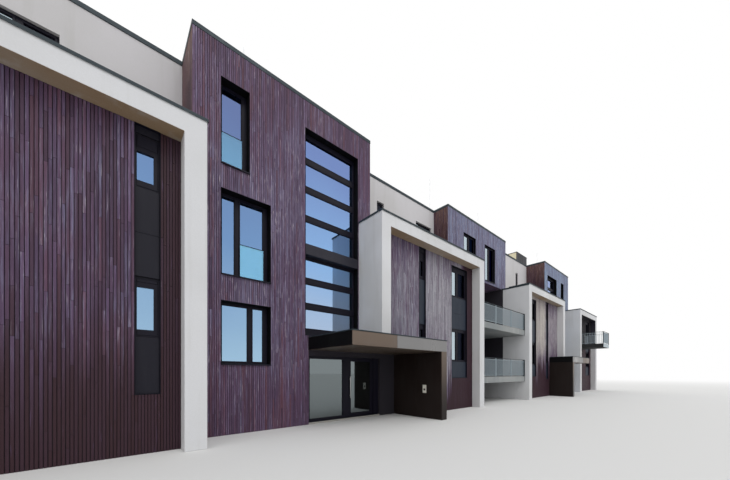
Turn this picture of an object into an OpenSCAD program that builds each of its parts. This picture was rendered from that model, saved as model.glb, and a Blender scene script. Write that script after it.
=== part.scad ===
// Terraced house row at half size: two mirrored houses with stair towers, white portal frames
// and a shared balcony recess between them, closed by an end bay at each side.
// X runs along the front, Y goes into the building, Z is up. Lengths are millimetres.

/* [Row] */
// Width of the portal frame of each end bay
end_bay_w = 2895; // [2600:5:3600]
// Width of the portal frame of each house
bay_w = 3540; // [3400:5:4200]
// Width of the open recess between the two houses
recess_w = 2840; // [2400:5:3600]
// Distance from the left end bay to house A's portal
left_gap_w = 2700; // [2600:5:3000]
// Distance from house B's portal to the right end bay
right_gap_w = 2110; // [2050:5:2600]
// Depth of the building behind the tower front
depth = 6000; // [5000:10:8000]
// Thickness of the outer walls
wall_t = 200; // [150:5:240]

/* [Levels] */
// Ground floor level above the lowest ground
floor_z = 660; // [600:5:720]
// Height from one floor level to the next
storey_h = 1490; // [1450:5:1600]
// Thickness of the floor slabs
slab_t = 150; // [100:5:180]
// Height of the parapet above the roof slab
parapet_h = 135; // [60:5:240]
// Thickness of the dark coping on the parapet
coping_t = 60; // [30:5:80]
// Overhang of every coping past its wall
coping_lip = 12; // [5:1:25]

/* [Towers] */
// Width of a stair tower's upper storey
tower_w = 3000; // [2900:5:3200]
// How far the tower's upper storey reaches over the house's portal
tower_over = 275; // [250:5:400]
// Width of the stair glazing
stair_w = 1100; // [900:5:1180]
// Distance from the tower's inner edge to the stair glazing
stair_side = 300; // [290:5:360]
// Height of the stair glazing
stair_h = 3355; // [3200:5:3400]
// Wall strip between the entrance canopy and the stair glazing
stair_sill = 40; // [20:5:80]
// Distance from tower A's outer edge to its windows
margin_a = 330; // [300:5:400]
// Distance from tower B's outer edge to its windows
margin_b = 665; // [645:5:700]

/* [Windows] */
// Height of a French window
french_h = 1155; // [1000:5:1200]
// Sill of a French window above its floor
french_sill = 30; // [20:5:80]
// Sill of a ground floor tower window above the floor
ground_sill = 305; // [200:5:400]
// Height of a ground floor tower window
ground_window_h = 860; // [700:5:900]
// Width of a window with two sashes
pair_w = 690; // [600:5:720]
// Width of a window with one sash
single_w = 380; // [300:5:450]
// Width of a white wall's window with two sashes
top_pair_w = 650; // [560:5:700]
// Width of a white wall's window with one sash
top_slim_w = 220; // [180:5:260]
// Width of a window in the centre block
block_window_w = 660; // [560:5:720]
// Distance from the middle of the centre block to its windows
block_window_x = 275; // [200:5:340]
// Width of a glazed balcony opening in the recess
recess_door_w = 900; // [700:5:960]
// Distance from the middle of the recess to its glazed openings
recess_door_x = 180; // [120:5:220]
// Width of the balcony door in the right end bay
balcony_door_w = 600; // [500:5:640]
// Width of the fixed frame round a window
frame_w = 40; // [30:1:60]
// Width of the wider stile on a tower window's hinge side
stile_w = 75; // [45:1:90]
// Width of the mullion between two sashes
mullion_w = 75; // [40:1:80]
// Depth of the window frames, front to back
frame_d = 40; // [30:1:60]
// Setback of the tower windows behind the wall face
reveal = 110; // [80:5:140]
// Thickness of the glass
glass_t = 12; // [8:1:20]
// Height of the glass guard in front of an upper window
guard_h = 500; // [400:5:550]

/* [Portal frames] */
// How far the portals stand in front of the towers
portal_out = 630; // [560:5:800]
// Setback of the timber wall inside a portal
portal_in = 210; // [150:5:260]
// Width of a portal's side walls
side_w = 220; // [180:5:260]
// Height of a portal's beam
beam_h = 220; // [180:5:300]
// Thickness of the thin coping on a portal
trim_t = 22; // [8:1:30]
// Depth of the shallow groove that holds a window strip
groove = 40; // [20:5:60]
// Thickness of the dark panels in a window strip
panel_t = 20; // [10:1:20]
// Width of the wide window strip
wide_strip_w = 660; // [560:5:700]
// Distance from the recess side of a portal to its wide strip
wide_strip_x = 470; // [400:5:520]
// Width of the narrow window strip
slim_strip_w = 220; // [180:5:280]
// Distance from a house's narrow strip to its canopy
slim_strip_side = 130; // [120:5:300]
// Distance from the left end bay's side wall to its narrow strip
left_strip_side = 190; // [120:5:300]
// Distance from the right end bay's side wall to its wide strip
right_strip_side = 275; // [120:5:300]
// Distance from the right end bay's other side wall to its balcony door
balcony_door_side = 300; // [200:5:340]
// Head of a wide strip below the portal top
wide_head = 320; // [280:5:420]
// Height of the upper window in a wide strip
wide_upper_h = 705; // [500:5:760]
// Height of the lower window in a wide strip
wide_lower_h = 760; // [500:5:800]
// Sill of the lower window in a wide strip above the ground floor
wide_sill = 450; // [400:5:540]
// Height of the dark panel below the lower window in a wide strip
wide_foot_h = 385; // [300:5:390]
// Head of the upper window in a narrow strip below the portal top
slim_head = 300; // [260:5:420]
// Height of the upper window in a narrow strip
slim_upper_h = 560; // [450:5:700]
// Height of the lower window in a narrow strip
slim_lower_h = 630; // [500:5:660]
// Sill of the lower window in a narrow strip above the ground floor
slim_sill = 560; // [500:5:600]
// Height of the dark panel below the lower window in a narrow strip
slim_foot_h = 600; // [400:5:620]
// Height of the foot rails in a narrow strip
slim_foot_rail = 75; // [40:5:90]
// Height of the shutter box inside the head of a narrow strip's upper window
slim_shutter_h = 175; // [60:5:200]
// Height of the shutter box inside the head of a wide strip's upper window
wide_shutter_h = 115; // [60:5:160]
// Height of the head rail of a narrow strip's lower window
slim_head_rail = 100; // [40:5:120]
// Height of the head rail of a wide strip's lower window
wide_head_rail = 65; // [40:5:90]

/* [Entrance] */
// Underside of the entrance canopy
canopy_z = 1225; // [1180:5:1300]
// Thickness of the entrance canopy
canopy_t = 205; // [150:5:220]
// Reach of the canopy in front of the tower
canopy_out = 1170; // [1000:5:1300]
// Length of the canopy
canopy_w = 2180; // [2170:5:2240]
// How far the canopy reaches past the tower side of the portal
canopy_back = 1110; // [1060:5:1120]
// Thickness of the wall that carries the canopy
canopy_wall_t = 155; // [100:5:200]
// Head of the doorway and the sidelight
door_head = 1130; // [1080:5:1140]
// Clear width of the doorway
door_w = 620; // [560:5:640]
// Wall between the canopy's wall and the post of the entrance
door_side = 415; // [380:5:420]
// Width of the post beside the door
post_w = 125; // [80:5:140]
// Depth of the entrance hall and the stairwell behind the tower front
hall_depth = 2400; // [2000:10:3000]
// Thickness of the door leaf
leaf_t = 40; // [30:1:50]
// Setback of the door leaf behind the wall face
door_reveal = 60; // [40:5:90]
// Gap round the door leaf
door_gap = 6; // [5:0.5:8]
// Width of the rails and stiles of the door leaf
leaf_rail = 60; // [45:1:80]
// Radius of the hinge barrels
barrel_r = 9; // [8:0.5:11]
// Radius of the hinge pins
pin_r = 4; // [3:0.5:5]
// Clearance round the hinge pins
pin_gap = 0.1; // [0.05:0.05:0.5]

/* [Roof] */
// Width of a lift overrun
roof_box_w = 1150; // [900:10:1400]
// Depth of a lift overrun
roof_box_d = 1100; // [900:10:1400]
// Height of a lift overrun above the roof slab
roof_box_h = 1215; // [900:5:1400]
// Wall thickness of a lift overrun
roof_box_t = 100; // [60:5:150]
// Distance from the tower's inner edge to the lift overrun
roof_box_x = 785; // [400:5:1200]
// Distance from the tower front to the lift overrun
roof_box_y = 1385; // [1000:5:2400]
// Height of the lightning rods above the roof
rod_h = 1345; // [1000:5:1600]
// Radius of the lightning rods
rod_r = 6; // [4:0.5:12]
// Distance from the edge of the white walls to the lightning rods
rod_in = 300; // [250:5:500]

/* [Centre] */
// How far the centre block reaches over each portal
block_over = 275; // [250:5:320]
// Setback of the centre block behind the tower front
block_y = 235; // [200:5:300]
// Setback of the white top storey walls behind the tower front
upper_y = 685; // [600:5:760]
// Setback of the wall at the back of the recess
recess_y = 835; // [760:5:1000]
// Reach of the recess balcony in front of the tower
balcony_out = 495; // [400:5:560]
// Thickness of a balcony slab
balcony_t = 160; // [120:5:180]
// Height of the upper balcony slab above its floor level
balcony_up = 35; // [0:5:60]
// Height of the lower terrace slab above its floor level
terrace_up = 80; // [0:5:90]
// Height of the railings
rail_h = 515; // [450:5:560]
// Side of a railing bar
bar_w = 8; // [6:0.5:12]
// Distance between railing bars
bar_pitch = 60; // [50:1:80]
// Reach of the end balcony in front of its portal
end_balcony_out = 720; // [500:5:900]
// Gap between the end balcony's front and side railings
rail_gap = 6; // [5:1:20]
// Width of the end balcony
end_balcony_w = 1050; // [900:5:1300]
// Distance from the right end bay's side wall to its balcony
end_balcony_side = 230; // [160:5:300]

/* [Hidden] */

function level(i) = floor_z + i * storey_h;
roof_z = level(3);
wall_top = roof_z + parapet_h;
portal_top = level(2);

bay_a_x0 = end_bay_w + left_gap_w;
bay_a_x1 = bay_a_x0 + bay_w;
bay_b_x0 = bay_a_x1 + recess_w;
bay_b_x1 = bay_b_x0 + bay_w;
right_x0 = bay_b_x1 + right_gap_w;
row_w = right_x0 + end_bay_w;
axis_x = (bay_a_x1 + bay_b_x0) / 2;

front_y = -portal_out - end_balcony_out;
mid_y = (front_y + depth + coping_lip) / 2;
timber_y = portal_in - portal_out;
timber_back = timber_y + wall_t;
inner_back = depth - wall_t;

// Places in a house are measured from the recess side of its portal, towards its tower
tower_in = bay_w - tower_over;
tower_out = tower_in + tower_w;
canopy_x = bay_w - canopy_back;
canopy_top = canopy_z + canopy_t;
canopy_end = canopy_x + canopy_w;
door_x = canopy_x + canopy_wall_t + door_side + post_w;
screen_x0 = door_x - post_w;
screen_side = 10;
screen_x1 = canopy_end - screen_side;
side_post_x = door_x + door_w;
stair_x = tower_in + stair_side;
stair_z = canopy_top + stair_sill;
threshold_t = 30;
hall_side = 300;
lobby_x0 = screen_x0 - hall_side;
lobby_x1 = screen_x1 + hall_side;
lobby_y1 = wall_t + hall_depth;
lobby_wall_t = 100;
slim_strip_x = canopy_x - slim_strip_side - slim_strip_w;
function gap_w(side) = side == 0 ? left_gap_w : right_gap_w;
function margin(side) = side == 0 ? margin_a : margin_b;

// Share of a tower window's width that its left sash takes
ground_share = 0.385;
first_share = 0.645;
// Each window: x, z, width, height, middle of its mullion or 0, and its rails if they aren't all
// frame_w: at low x, at high x, at the foot, at the head
even_rails = [frame_w, frame_w, frame_w, frame_w];
function rails(w) = len(w) > 5 ? w[5] : even_rails;
tower_rails = [stile_w, frame_w, frame_w, frame_w];
function tower_windows(side) = let (out = tower_out - margin(side)) [
    [out - pair_w, level(0) + ground_sill, pair_w, ground_window_h, pair_w * ground_share, tower_rails],
    [out - pair_w, level(1) + french_sill, pair_w, french_h, pair_w * first_share, tower_rails],
    [out - single_w, level(2) + french_sill, single_w, french_h, 0, tower_rails]];
wide_share = 0.56;
// A strip: x, width, mullion's share of the width or 0 if it is narrow, rail at low x, rail at high x
function is_slim(s) = s[2] == 0;
function strip_z1(s) = portal_top - (is_slim(s) ? slim_head : wide_head);
function strip_lower_z(s) = level(0) + (is_slim(s) ? slim_sill : wide_sill);
function strip_foot_z(s) = strip_lower_z(s) - (is_slim(s) ? slim_foot_h : wide_foot_h);
// A narrow strip has a panel over its upper window, up to the portal's beam
function strip_top(s) = is_slim(s) ? portal_top - beam_h : strip_z1(s);
// The upper and the lower window of a strip
function strip(s) = let (slim = is_slim(s), upper_h = slim ? slim_upper_h : wide_upper_h) [
    [s[0], strip_z1(s) - upper_h, s[1], upper_h, s[1] * s[2],
        slim ? [s[3], s[4], slim_foot_rail, slim_shutter_h] : [s[3], s[4], frame_w, wide_shutter_h]],
    [s[0], strip_lower_z(s), s[1], slim ? slim_lower_h : wide_lower_h, s[1] * s[2],
        slim ? [s[3], s[4], slim_foot_rail, slim_head_rail] : [s[3], s[4], frame_w, wide_head_rail]]];
strip_posts = [
    [wide_strip_x, wide_strip_w, wide_share, frame_w, frame_w],
    [slim_strip_x, slim_strip_w, 0, frame_w, frame_w]];
left_strips = [
    [end_bay_w - side_w - left_strip_side - slim_strip_w, slim_strip_w, 0, 15, 50],
    [wide_strip_x, wide_strip_w, 1 - wide_share, frame_w, frame_w]];
right_strips = [[end_bay_w - side_w - right_strip_side - wide_strip_w, wide_strip_w,
    1 - wide_share, frame_w, frame_w]];
balcony_door = [[side_w + balcony_door_side, level(1) + french_sill, balcony_door_w, french_h, 0]];
top_z = level(2) + french_sill;
top_head = 30;
top_h = french_h - top_head;
wall_windows = [
    [wide_strip_x - 75, top_z, top_pair_w, top_h, top_pair_w / 2],
    [slim_strip_x + 130, top_z, top_slim_w, top_h, 0]];
block_sill = 45;
block_head = 15;
block_windows = [for (x = [axis_x - block_window_x - block_window_w, axis_x + block_window_x])
    [x, top_z + block_sill, block_window_w, french_h - block_sill - block_head, block_window_w / 2]];
// Height of a recess slab above its floor level
function slab_up(i) = i == 0 ? terrace_up : balcony_up;
recess_step = 10;
recess_windows = [for (i = [0, 1]) for (x = [axis_x - recess_door_x - recess_door_w,
    axis_x + recess_door_x]) let (sill = slab_up(i) + recess_step)
    [x, level(i) + sill, recess_door_w, french_h + french_sill - sill, recess_door_w / 2]];
// Middles of the two end bays' top windows
left_window_x = end_bay_w * 0.45;
right_window_x = right_x0 + end_bay_w * 0.62;
end_windows = [for (x = [left_window_x, right_window_x])
    [x - top_pair_w / 2, top_z, top_pair_w, top_h, top_pair_w / 2]];
back_count = 10;
back_pitch = row_w / back_count;
back_windows = [for (i = [0:2]) for (k = [0:back_count - 1])
    [back_pitch * (k + 0.5) - pair_w / 2, level(i) + french_sill, pair_w, french_h, pair_w / 2]];

module place() {
    translate([-row_w / 2, -mid_y, 0]) children();
}
module house(side) {
    translate([side == 0 ? bay_a_x1 : bay_b_x0, 0, 0]) mirror([side == 0 ? 1 : 0, 0, 0]) children();
}
// An upright plate drawn in X and Z, from y0 back
module plate(y0, t) {
    translate([0, y0 + t, 0]) rotate([90, 0, 0]) linear_extrude(t) children();
}
// An upright plate drawn in Y and Z, from x0 to the right
module cross_plate(x0, t) {
    translate([x0, 0, 0]) rotate([90, 0, 90]) linear_extrude(t) children();
}
module rect(x0, y0, x1, y1) {
    translate([x0, y0]) square([x1 - x0, y1 - y0]);
}
module box(x0, y0, z0, x1, y1, z1) {
    translate([x0, y0, z0]) cube([x1 - x0, y1 - y0, z1 - z0]);
}
module window_holes(list) {
    for (w = list) translate([w[0], w[1]]) square([w[2], w[3]]);
}
module pane_holes(w) {
    r = rails(w);
    if (w[4] > 0) {
        rect(r[0], r[2], w[4] - mullion_w / 2, w[3] - r[3]);
        rect(w[4] + mullion_w / 2, r[2], w[2] - r[1], w[3] - r[3]);
    } else rect(r[0], r[2], w[2] - r[1], w[3] - r[3]);
}
module framed(list, y0) {
    plate(y0, frame_d) for (w = list) translate([w[0], w[1]]) difference() {
        square([w[2], w[3]]);
        pane_holes(w);
    }
}
module window_glass(list, y0) {
    plate(y0 + (frame_d - glass_t) / 2, glass_t)
        for (w = list) translate([w[0], w[1]]) pane_holes(w);
}

// Floors
module inside_plan() {
    rect(wall_t, timber_back, end_bay_w - side_w, inner_back);
    rect(end_bay_w - side_w - 1, wall_t, bay_a_x0 + side_w + 1, inner_back);
    rect(bay_a_x0 + side_w, timber_back, bay_a_x1 - side_w, inner_back);
    rect(bay_a_x1 - side_w - 1, recess_y + wall_t, bay_b_x0 + side_w + 1, inner_back);
    rect(bay_b_x0 + side_w, timber_back, bay_b_x1 - side_w, inner_back);
    rect(bay_b_x1 - side_w - 1, wall_t, right_x0 + side_w + 1, inner_back);
    rect(right_x0 + side_w, timber_back, row_w - wall_t, inner_back);
}
// A rectangle in plan, its place in X measured in a house
module house_rect(side, u0, y0, u1, y1) {
    if (side == 0) rect(bay_a_x1 - u1, y0, bay_a_x1 - u0, y1);
    else rect(bay_b_x0 + u0, y0, bay_b_x0 + u1, y1);
}
module stairwells() {
    for (side = [0, 1]) house_rect(side, stair_x, wall_t - 1, stair_x + stair_w, lobby_y1);
}
module ground_floor() {
    color("silver") place() translate([0, 0, level(0) - slab_t]) linear_extrude(slab_t) difference() {
        inside_plan();
        for (side = [0, 1]) {
            house_rect(side, lobby_x0, wall_t - 1, lobby_x1, lobby_y1);
            house_rect(side, canopy_x, timber_back - 1, bay_w, wall_t);
        }
    }
}
module first_floor() {
    color("silver") place() translate([0, 0, level(1) - slab_t]) linear_extrude(slab_t) difference() {
        inside_plan();
        stairwells();
    }
}
module second_floor() {
    color("silver") place() translate([0, 0, level(2) - slab_t]) linear_extrude(slab_t) difference() {
        union() {
            inside_plan();
            rect(side_w, timber_y, end_bay_w - side_w, 0);
            rect(bay_a_x0 + side_w, timber_y, bay_a_x1 - side_w, 0);
            rect(bay_b_x0 + side_w, timber_y, bay_b_x1 - side_w, 0);
            rect(right_x0 + side_w, timber_y, row_w - side_w, 0);
            rect(bay_a_x1 - side_w, recess_y, bay_b_x0 + side_w, depth / 2);
        }
        stairwells();
        rect(bay_a_x1 - side_w, recess_y - 1, bay_a_x1, recess_y + wall_t);
        rect(bay_b_x0, recess_y - 1, bay_b_x0 + side_w, recess_y + wall_t);
    }
}
module roof_inside(lip) {
    rect(wall_t + lip, upper_y + wall_t + lip, row_w - wall_t - lip, inner_back - lip);
    for (side = [0, 1])
        house_rect(side, tower_in + wall_t + lip, wall_t + lip, tower_out - wall_t - lip, depth / 2);
    rect(bay_a_x1 - block_over + wall_t + lip, block_y + wall_t + lip,
        bay_b_x0 + block_over - wall_t - lip, depth / 2);
}
module roof_outline(lip) {
    rect(-lip, upper_y - lip, row_w + lip, depth + lip);
    for (side = [0, 1]) house_rect(side, tower_in - lip, -lip, tower_out + lip, depth / 2);
    rect(bay_a_x1 - block_over - lip, block_y - lip, bay_b_x0 + block_over + lip, depth / 2);
}
module roof_slab() {
    color("dimgray") place() translate([0, 0, roof_z - slab_t]) linear_extrude(slab_t)
        roof_inside(0);
}
module lobby_floors() {
    color("gray") place() for (side = [0, 1]) house(side) {
        box(lobby_x0, wall_t, 0, lobby_x1, lobby_y1, threshold_t);
        box(screen_x0, 0, 0, screen_x1, wall_t + 1, threshold_t);
    }
}
module lobby_walls() {
    color("silver") place() for (side = [0, 1]) house(side)
        linear_extrude(level(0) - slab_t) difference() {
            rect(lobby_x0 - lobby_wall_t, wall_t, lobby_x1 + lobby_wall_t, lobby_y1 + lobby_wall_t);
            rect(lobby_x0, wall_t - 1, lobby_x1, lobby_y1);
        }
}

// Walls
module end_wall_profile() {
    rect(timber_back, 0, inner_back, portal_top);
    rect(upper_y, portal_top - 1, inner_back, wall_top);
}
module party_walls() {
    color("gainsboro") place() for (x = [0, row_w - wall_t]) cross_plate(x, wall_t) end_wall_profile();
}
module back_wall() {
    color("gainsboro") place() plate(inner_back, wall_t) difference() {
        rect(0, 0, row_w, wall_top);
        window_holes(back_windows);
    }
}
module tower_fronts() {
    color("#5a4558") place() for (side = [0, 1]) house(side) plate(0, wall_t) difference() {
        union() {
            rect(tower_in, level(2), tower_out, wall_top);
            rect(bay_w, canopy_top, bay_w + gap_w(side), level(2) + 1);
            rect(screen_x1, 0, bay_w + gap_w(side), canopy_top + 1);
        }
        window_holes(tower_windows(side));
        rect(stair_x, stair_z, stair_x + stair_w, stair_z + stair_h);
    }
}
module upper_side_walls() {
    color("#5a4558") place() for (side = [0, 1]) house(side) {
        for (x = [tower_in, tower_out - wall_t])
            box(x, wall_t, level(2), x + wall_t, upper_y + wall_t, wall_top);
        box(block_over - wall_t, block_y + wall_t, level(2), block_over, upper_y + wall_t,
            wall_top);
    }
}
module entrance_piers() {
    color("#3a2f38") place() for (side = [0, 1]) house(side)
        box(canopy_x, 0, 0, screen_x0, wall_t, canopy_top);
}
module entrance_lintels() {
    color("#3a2f38") place() for (side = [0, 1]) house(side)
        box(screen_x0, 0, door_head, screen_x1, wall_t, canopy_top);
}
module house_portals() {
    color("#c9ccd3") place() for (side = [0, 1]) house(side) {
        box(0, -portal_out, 0, side_w, recess_y + wall_t, portal_top);
        box(side_w - 1, -portal_out, portal_top - beam_h, bay_w - side_w + 1, timber_y, portal_top);
        box(bay_w - side_w, -portal_out, canopy_top, bay_w, wall_t, portal_top);
    }
}
module end_portal(x0, outer_left) {
    translate([x0, 0, 0]) {
        box(0, -portal_out, 0, side_w, outer_left ? timber_back : wall_t, portal_top);
        box(side_w - 1, -portal_out, portal_top - beam_h, end_bay_w - side_w + 1, timber_y,
            portal_top);
        box(end_bay_w - side_w, -portal_out, 0, end_bay_w, outer_left ? wall_t : timber_back,
            portal_top);
    }
}
module end_portals() {
    color("#c9ccd3") place() {
        end_portal(0, true);
        end_portal(right_x0, false);
    }
}
// A timber wall with a shallow groove for each window strip
module strip_wall(x1, strips, extra) {
    difference() {
        plate(timber_y, wall_t) difference() {
            rect(side_w, 0, x1, portal_top - slab_t);
            for (s = strips) window_holes(strip(s));
            window_holes(extra);
        }
        for (s = strips)
            box(s[0], timber_y - 1, strip_foot_z(s), s[0] + s[1], timber_y + groove, strip_top(s));
    }
}
module house_timber_walls() {
    color("#6f5f6c") place() for (side = [0, 1]) house(side) difference() {
        strip_wall(bay_w - side_w, strip_posts, []);
        box(canopy_x, timber_y - 1, -1, bay_w, timber_back + 1, canopy_top);
    }
}
module end_timber_walls() {
    color("#7a6a68") place() {
        strip_wall(end_bay_w - side_w, left_strips, []);
        translate([right_x0, 0, 0]) strip_wall(end_bay_w - side_w, right_strips, balcony_door);
    }
}
module upper_white_walls() {
    color("#d8dade") place() {
        for (side = [0, 1]) house(side) plate(upper_y, wall_t) difference() {
            rect(block_over, level(2), tower_in, wall_top);
            window_holes(wall_windows);
        }
        plate(upper_y, wall_t) difference() {
            union() {
                rect(wall_t, level(2), bay_a_x1 - tower_out, wall_top);
                rect(bay_b_x0 + tower_out, level(2), row_w - wall_t, wall_top);
            }
            window_holes(end_windows);
        }
    }
}
module centre_block_front() {
    color("#5a4558") place() plate(block_y, wall_t) difference() {
        rect(bay_a_x1 - block_over, level(2), bay_b_x0 + block_over, wall_top);
        window_holes(block_windows);
    }
}
block_floor_t = 60;
module centre_block_floor() {
    color("#4a3a48") place()
        box(bay_a_x1 - block_over + wall_t, block_y + wall_t, level(2), bay_b_x0 + block_over - wall_t,
            recess_y + wall_t, level(2) + block_floor_t);
}
module recess_back_wall() {
    color("#3a343c") place() plate(recess_y, wall_t) difference() {
        rect(bay_a_x1, 0, bay_b_x0, level(2) - slab_t);
        window_holes(recess_windows);
    }
}

// Balconies
handrail_t = 15;
foot_rail_up = 40;
foot_rail_t = 10;
rail_in = 20;
module railing_run(length) {
    count = floor((length - bar_w) / bar_pitch);
    step = (length - bar_w) / count;
    for (k = [0:count]) box(k * step, 0, 0, k * step + bar_w, bar_w, rail_h);
    box(0, 0, rail_h - handrail_t, length, bar_w, rail_h);
    box(0, 0, foot_rail_up, length, bar_w, foot_rail_up + foot_rail_t);
}
module balcony_slabs() {
    color("#b5bcc4") place() for (i = [0, 1])
        box(bay_a_x1, -balcony_out, level(i) + slab_up(i) - balcony_t, bay_b_x0, recess_y,
            level(i) + slab_up(i));
}
end_balcony_x = right_x0 + side_w + end_balcony_side;
end_balcony_z = level(1) - balcony_up;
module end_balcony() {
    color("#30302f") place()
        box(end_balcony_x, front_y, end_balcony_z - balcony_t, end_balcony_x + end_balcony_w,
            timber_y, end_balcony_z);
}
module railings() {
    color("#6c7a80") place() {
        for (i = [0, 1])
            translate([bay_a_x1, rail_in - balcony_out, level(i) + slab_up(i)]) railing_run(recess_w);
        translate([end_balcony_x, front_y, end_balcony_z]) {
            railing_run(end_balcony_w);
            for (x = [bar_w, end_balcony_w]) translate([x, bar_w + rail_gap, 0])
                rotate([0, 0, 90]) railing_run(timber_y - front_y - bar_w - rail_gap);
        }
    }
}

// Entrances
module canopies() {
    color("#77736c") place() for (side = [0, 1]) house(side)
        box(canopy_x, -canopy_out, canopy_z, canopy_end, 0, canopy_top);
}
module canopy_walls() {
    color("#1c1512") place() for (side = [0, 1]) house(side)
        box(canopy_x, -canopy_out, 0, canopy_x + canopy_wall_t, 0, canopy_z);
}
screen_out = 20;
screen_y = door_reveal - screen_out;
screen_y1 = door_reveal + leaf_t;
module entrance_screens() {
    color("#1c1a26") place() for (side = [0, 1]) house(side) {
        box(screen_x0, screen_y, threshold_t, door_x, screen_y1, door_head);
        difference() {
            box(side_post_x, screen_y, threshold_t, screen_x1, screen_y1, door_head);
            box(side_post_x + post_w, screen_y - 1, threshold_t + frame_w, screen_x1 - frame_w,
                screen_y1 + 1, door_head - frame_w);
        }
    }
}
module sidelights() {
    box(side_post_x + post_w, door_reveal, threshold_t + frame_w, screen_x1 - frame_w,
        door_reveal + glass_t, door_head - frame_w);
}
hinge_x = door_x + door_gap / 2;
hinge_y = screen_y1 + barrel_r + 1;
leaf_z0 = threshold_t + door_gap;
leaf_z1 = door_head - door_gap;
knuckle_h = 24;
knuckle_gap = 1;
hinge_in = 110;
hinge_leaf_w = 36;
hinge_leaf_t = 5;
knuckle_z = knuckle_h * 1.5 + knuckle_gap;
hinge_zs = [leaf_z0 + hinge_in, (leaf_z0 + leaf_z1) / 2, leaf_z1 - hinge_in];
module at_hinge(z) {
    translate([hinge_x, hinge_y, z]) children();
}
module door_hinges() {
    color("silver") place() for (side = [0, 1]) house(side) for (z = hinge_zs) {
        at_hinge(z - knuckle_z) cylinder(r = pin_r, h = knuckle_z * 2, $fn = 32);
        for (z0 = [z - knuckle_z, z + knuckle_z - knuckle_h]) {
            at_hinge(z0) cylinder(r = barrel_r, h = knuckle_h, $fn = 32);
            box(hinge_x - hinge_leaf_w, screen_y1, z0, hinge_x, screen_y1 + hinge_leaf_t, z0 + knuckle_h);
        }
    }
}
module leaf_glass_box(grow) {
    box(door_x + door_gap + leaf_rail, door_reveal + leaf_t / 2 - glass_t / 2 - grow,
        leaf_z0 + leaf_rail, side_post_x - door_gap - leaf_rail,
        door_reveal + leaf_t / 2 + glass_t / 2 + grow, leaf_z1 - leaf_rail);
}
module door_leaf(side) {
    color("#1c1a26") place() house(side) difference() {
        union() {
            box(door_x + door_gap, door_reveal, leaf_z0, side_post_x - door_gap, screen_y1, leaf_z1);
            for (z = hinge_zs) {
                at_hinge(z - knuckle_h / 2) cylinder(r = barrel_r, h = knuckle_h, $fn = 32);
                box(hinge_x, screen_y1 - hinge_leaf_t / 2, z - knuckle_h / 2,
                    hinge_x + hinge_leaf_w, screen_y1 + hinge_leaf_t, z + knuckle_h / 2);
            }
        }
        leaf_glass_box(leaf_t);
        for (z = hinge_zs)
            at_hinge(z - knuckle_h) cylinder(r = pin_r + pin_gap, h = knuckle_h * 2, $fn = 32);
    }
}
module door_leaf_a() {
    door_leaf(0);
}
module door_leaf_b() {
    door_leaf(1);
}
module door_glass(side) {
    color("#6f8797") place() house(side) leaf_glass_box(0);
}
module door_glass_a() {
    door_glass(0);
}
module door_glass_b() {
    door_glass(1);
}
pull_x = side_post_x - door_gap - leaf_rail / 2;
pull_out = 30;
pull_z = 380;
pull_h = 400;
pull_r = 8;
pull_foot_r = 6;
pull_foot_in = 50;
module door_pull(side) {
    color("silver") place() house(side) translate([pull_x, door_reveal - pull_out, pull_z]) {
        cylinder(r = pull_r, h = pull_h, $fn = 32);
        for (z = [pull_foot_in, pull_h - pull_foot_in])
            translate([0, 0, z]) rotate([-90, 0, 0]) cylinder(r = pull_foot_r, h = pull_out, $fn = 32);
    }
}
module door_pull_a() {
    door_pull(0);
}
module door_pull_b() {
    door_pull(1);
}
call_plate_w = 82;
call_plate_h = 150;
call_plate_t = 8;
call_plate_z = 470;
call_plate_y = -canopy_out * 0.71;
module call_plates() {
    color("silver") place() for (side = [0, 1]) house(side)
        translate([canopy_x + canopy_wall_t, call_plate_y, call_plate_z])
            cube([call_plate_t, call_plate_w, call_plate_h]);
}

// Windows
stair_head = 75;
stair_foot = 115;
stair_bar = 108;
stair_band = 260;
stair_band_face = 172;
// Heights of the transoms and the dark band, as shares of the opening
stair_bar_at = [0.1455, 0.2705, 0.5808, 0.7249, 0.8651];
stair_band_at = 0.415;
stair_band_z = stair_z + stair_h * stair_band_at;
stair_recess = 100;
module stair_panes() {
    difference() {
        rect(stair_x + frame_w, stair_z + stair_foot, stair_x + stair_w - frame_w,
            stair_z + stair_h - stair_head);
        for (k = stair_bar_at) translate([stair_x, stair_z + stair_h * k - stair_bar / 2])
            square([stair_w, stair_bar]);
        rect(stair_x, stair_band_z - stair_band / 2, stair_x + stair_w, stair_band_z + stair_band / 2);
    }
}
module stair_frames() {
    color("#1c1a26") place() for (side = [0, 1]) house(side) {
        plate(stair_recess, frame_d) difference() {
            rect(stair_x, stair_z, stair_x + stair_w, stair_z + stair_h);
            stair_panes();
        }
        // The band comes forward to the wall's face
        box(stair_x, 0, stair_band_z - stair_band_face / 2, stair_x + stair_w, stair_recess + 1,
            stair_band_z + stair_band_face / 2);
    }
}
guard_lap = 8;
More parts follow.
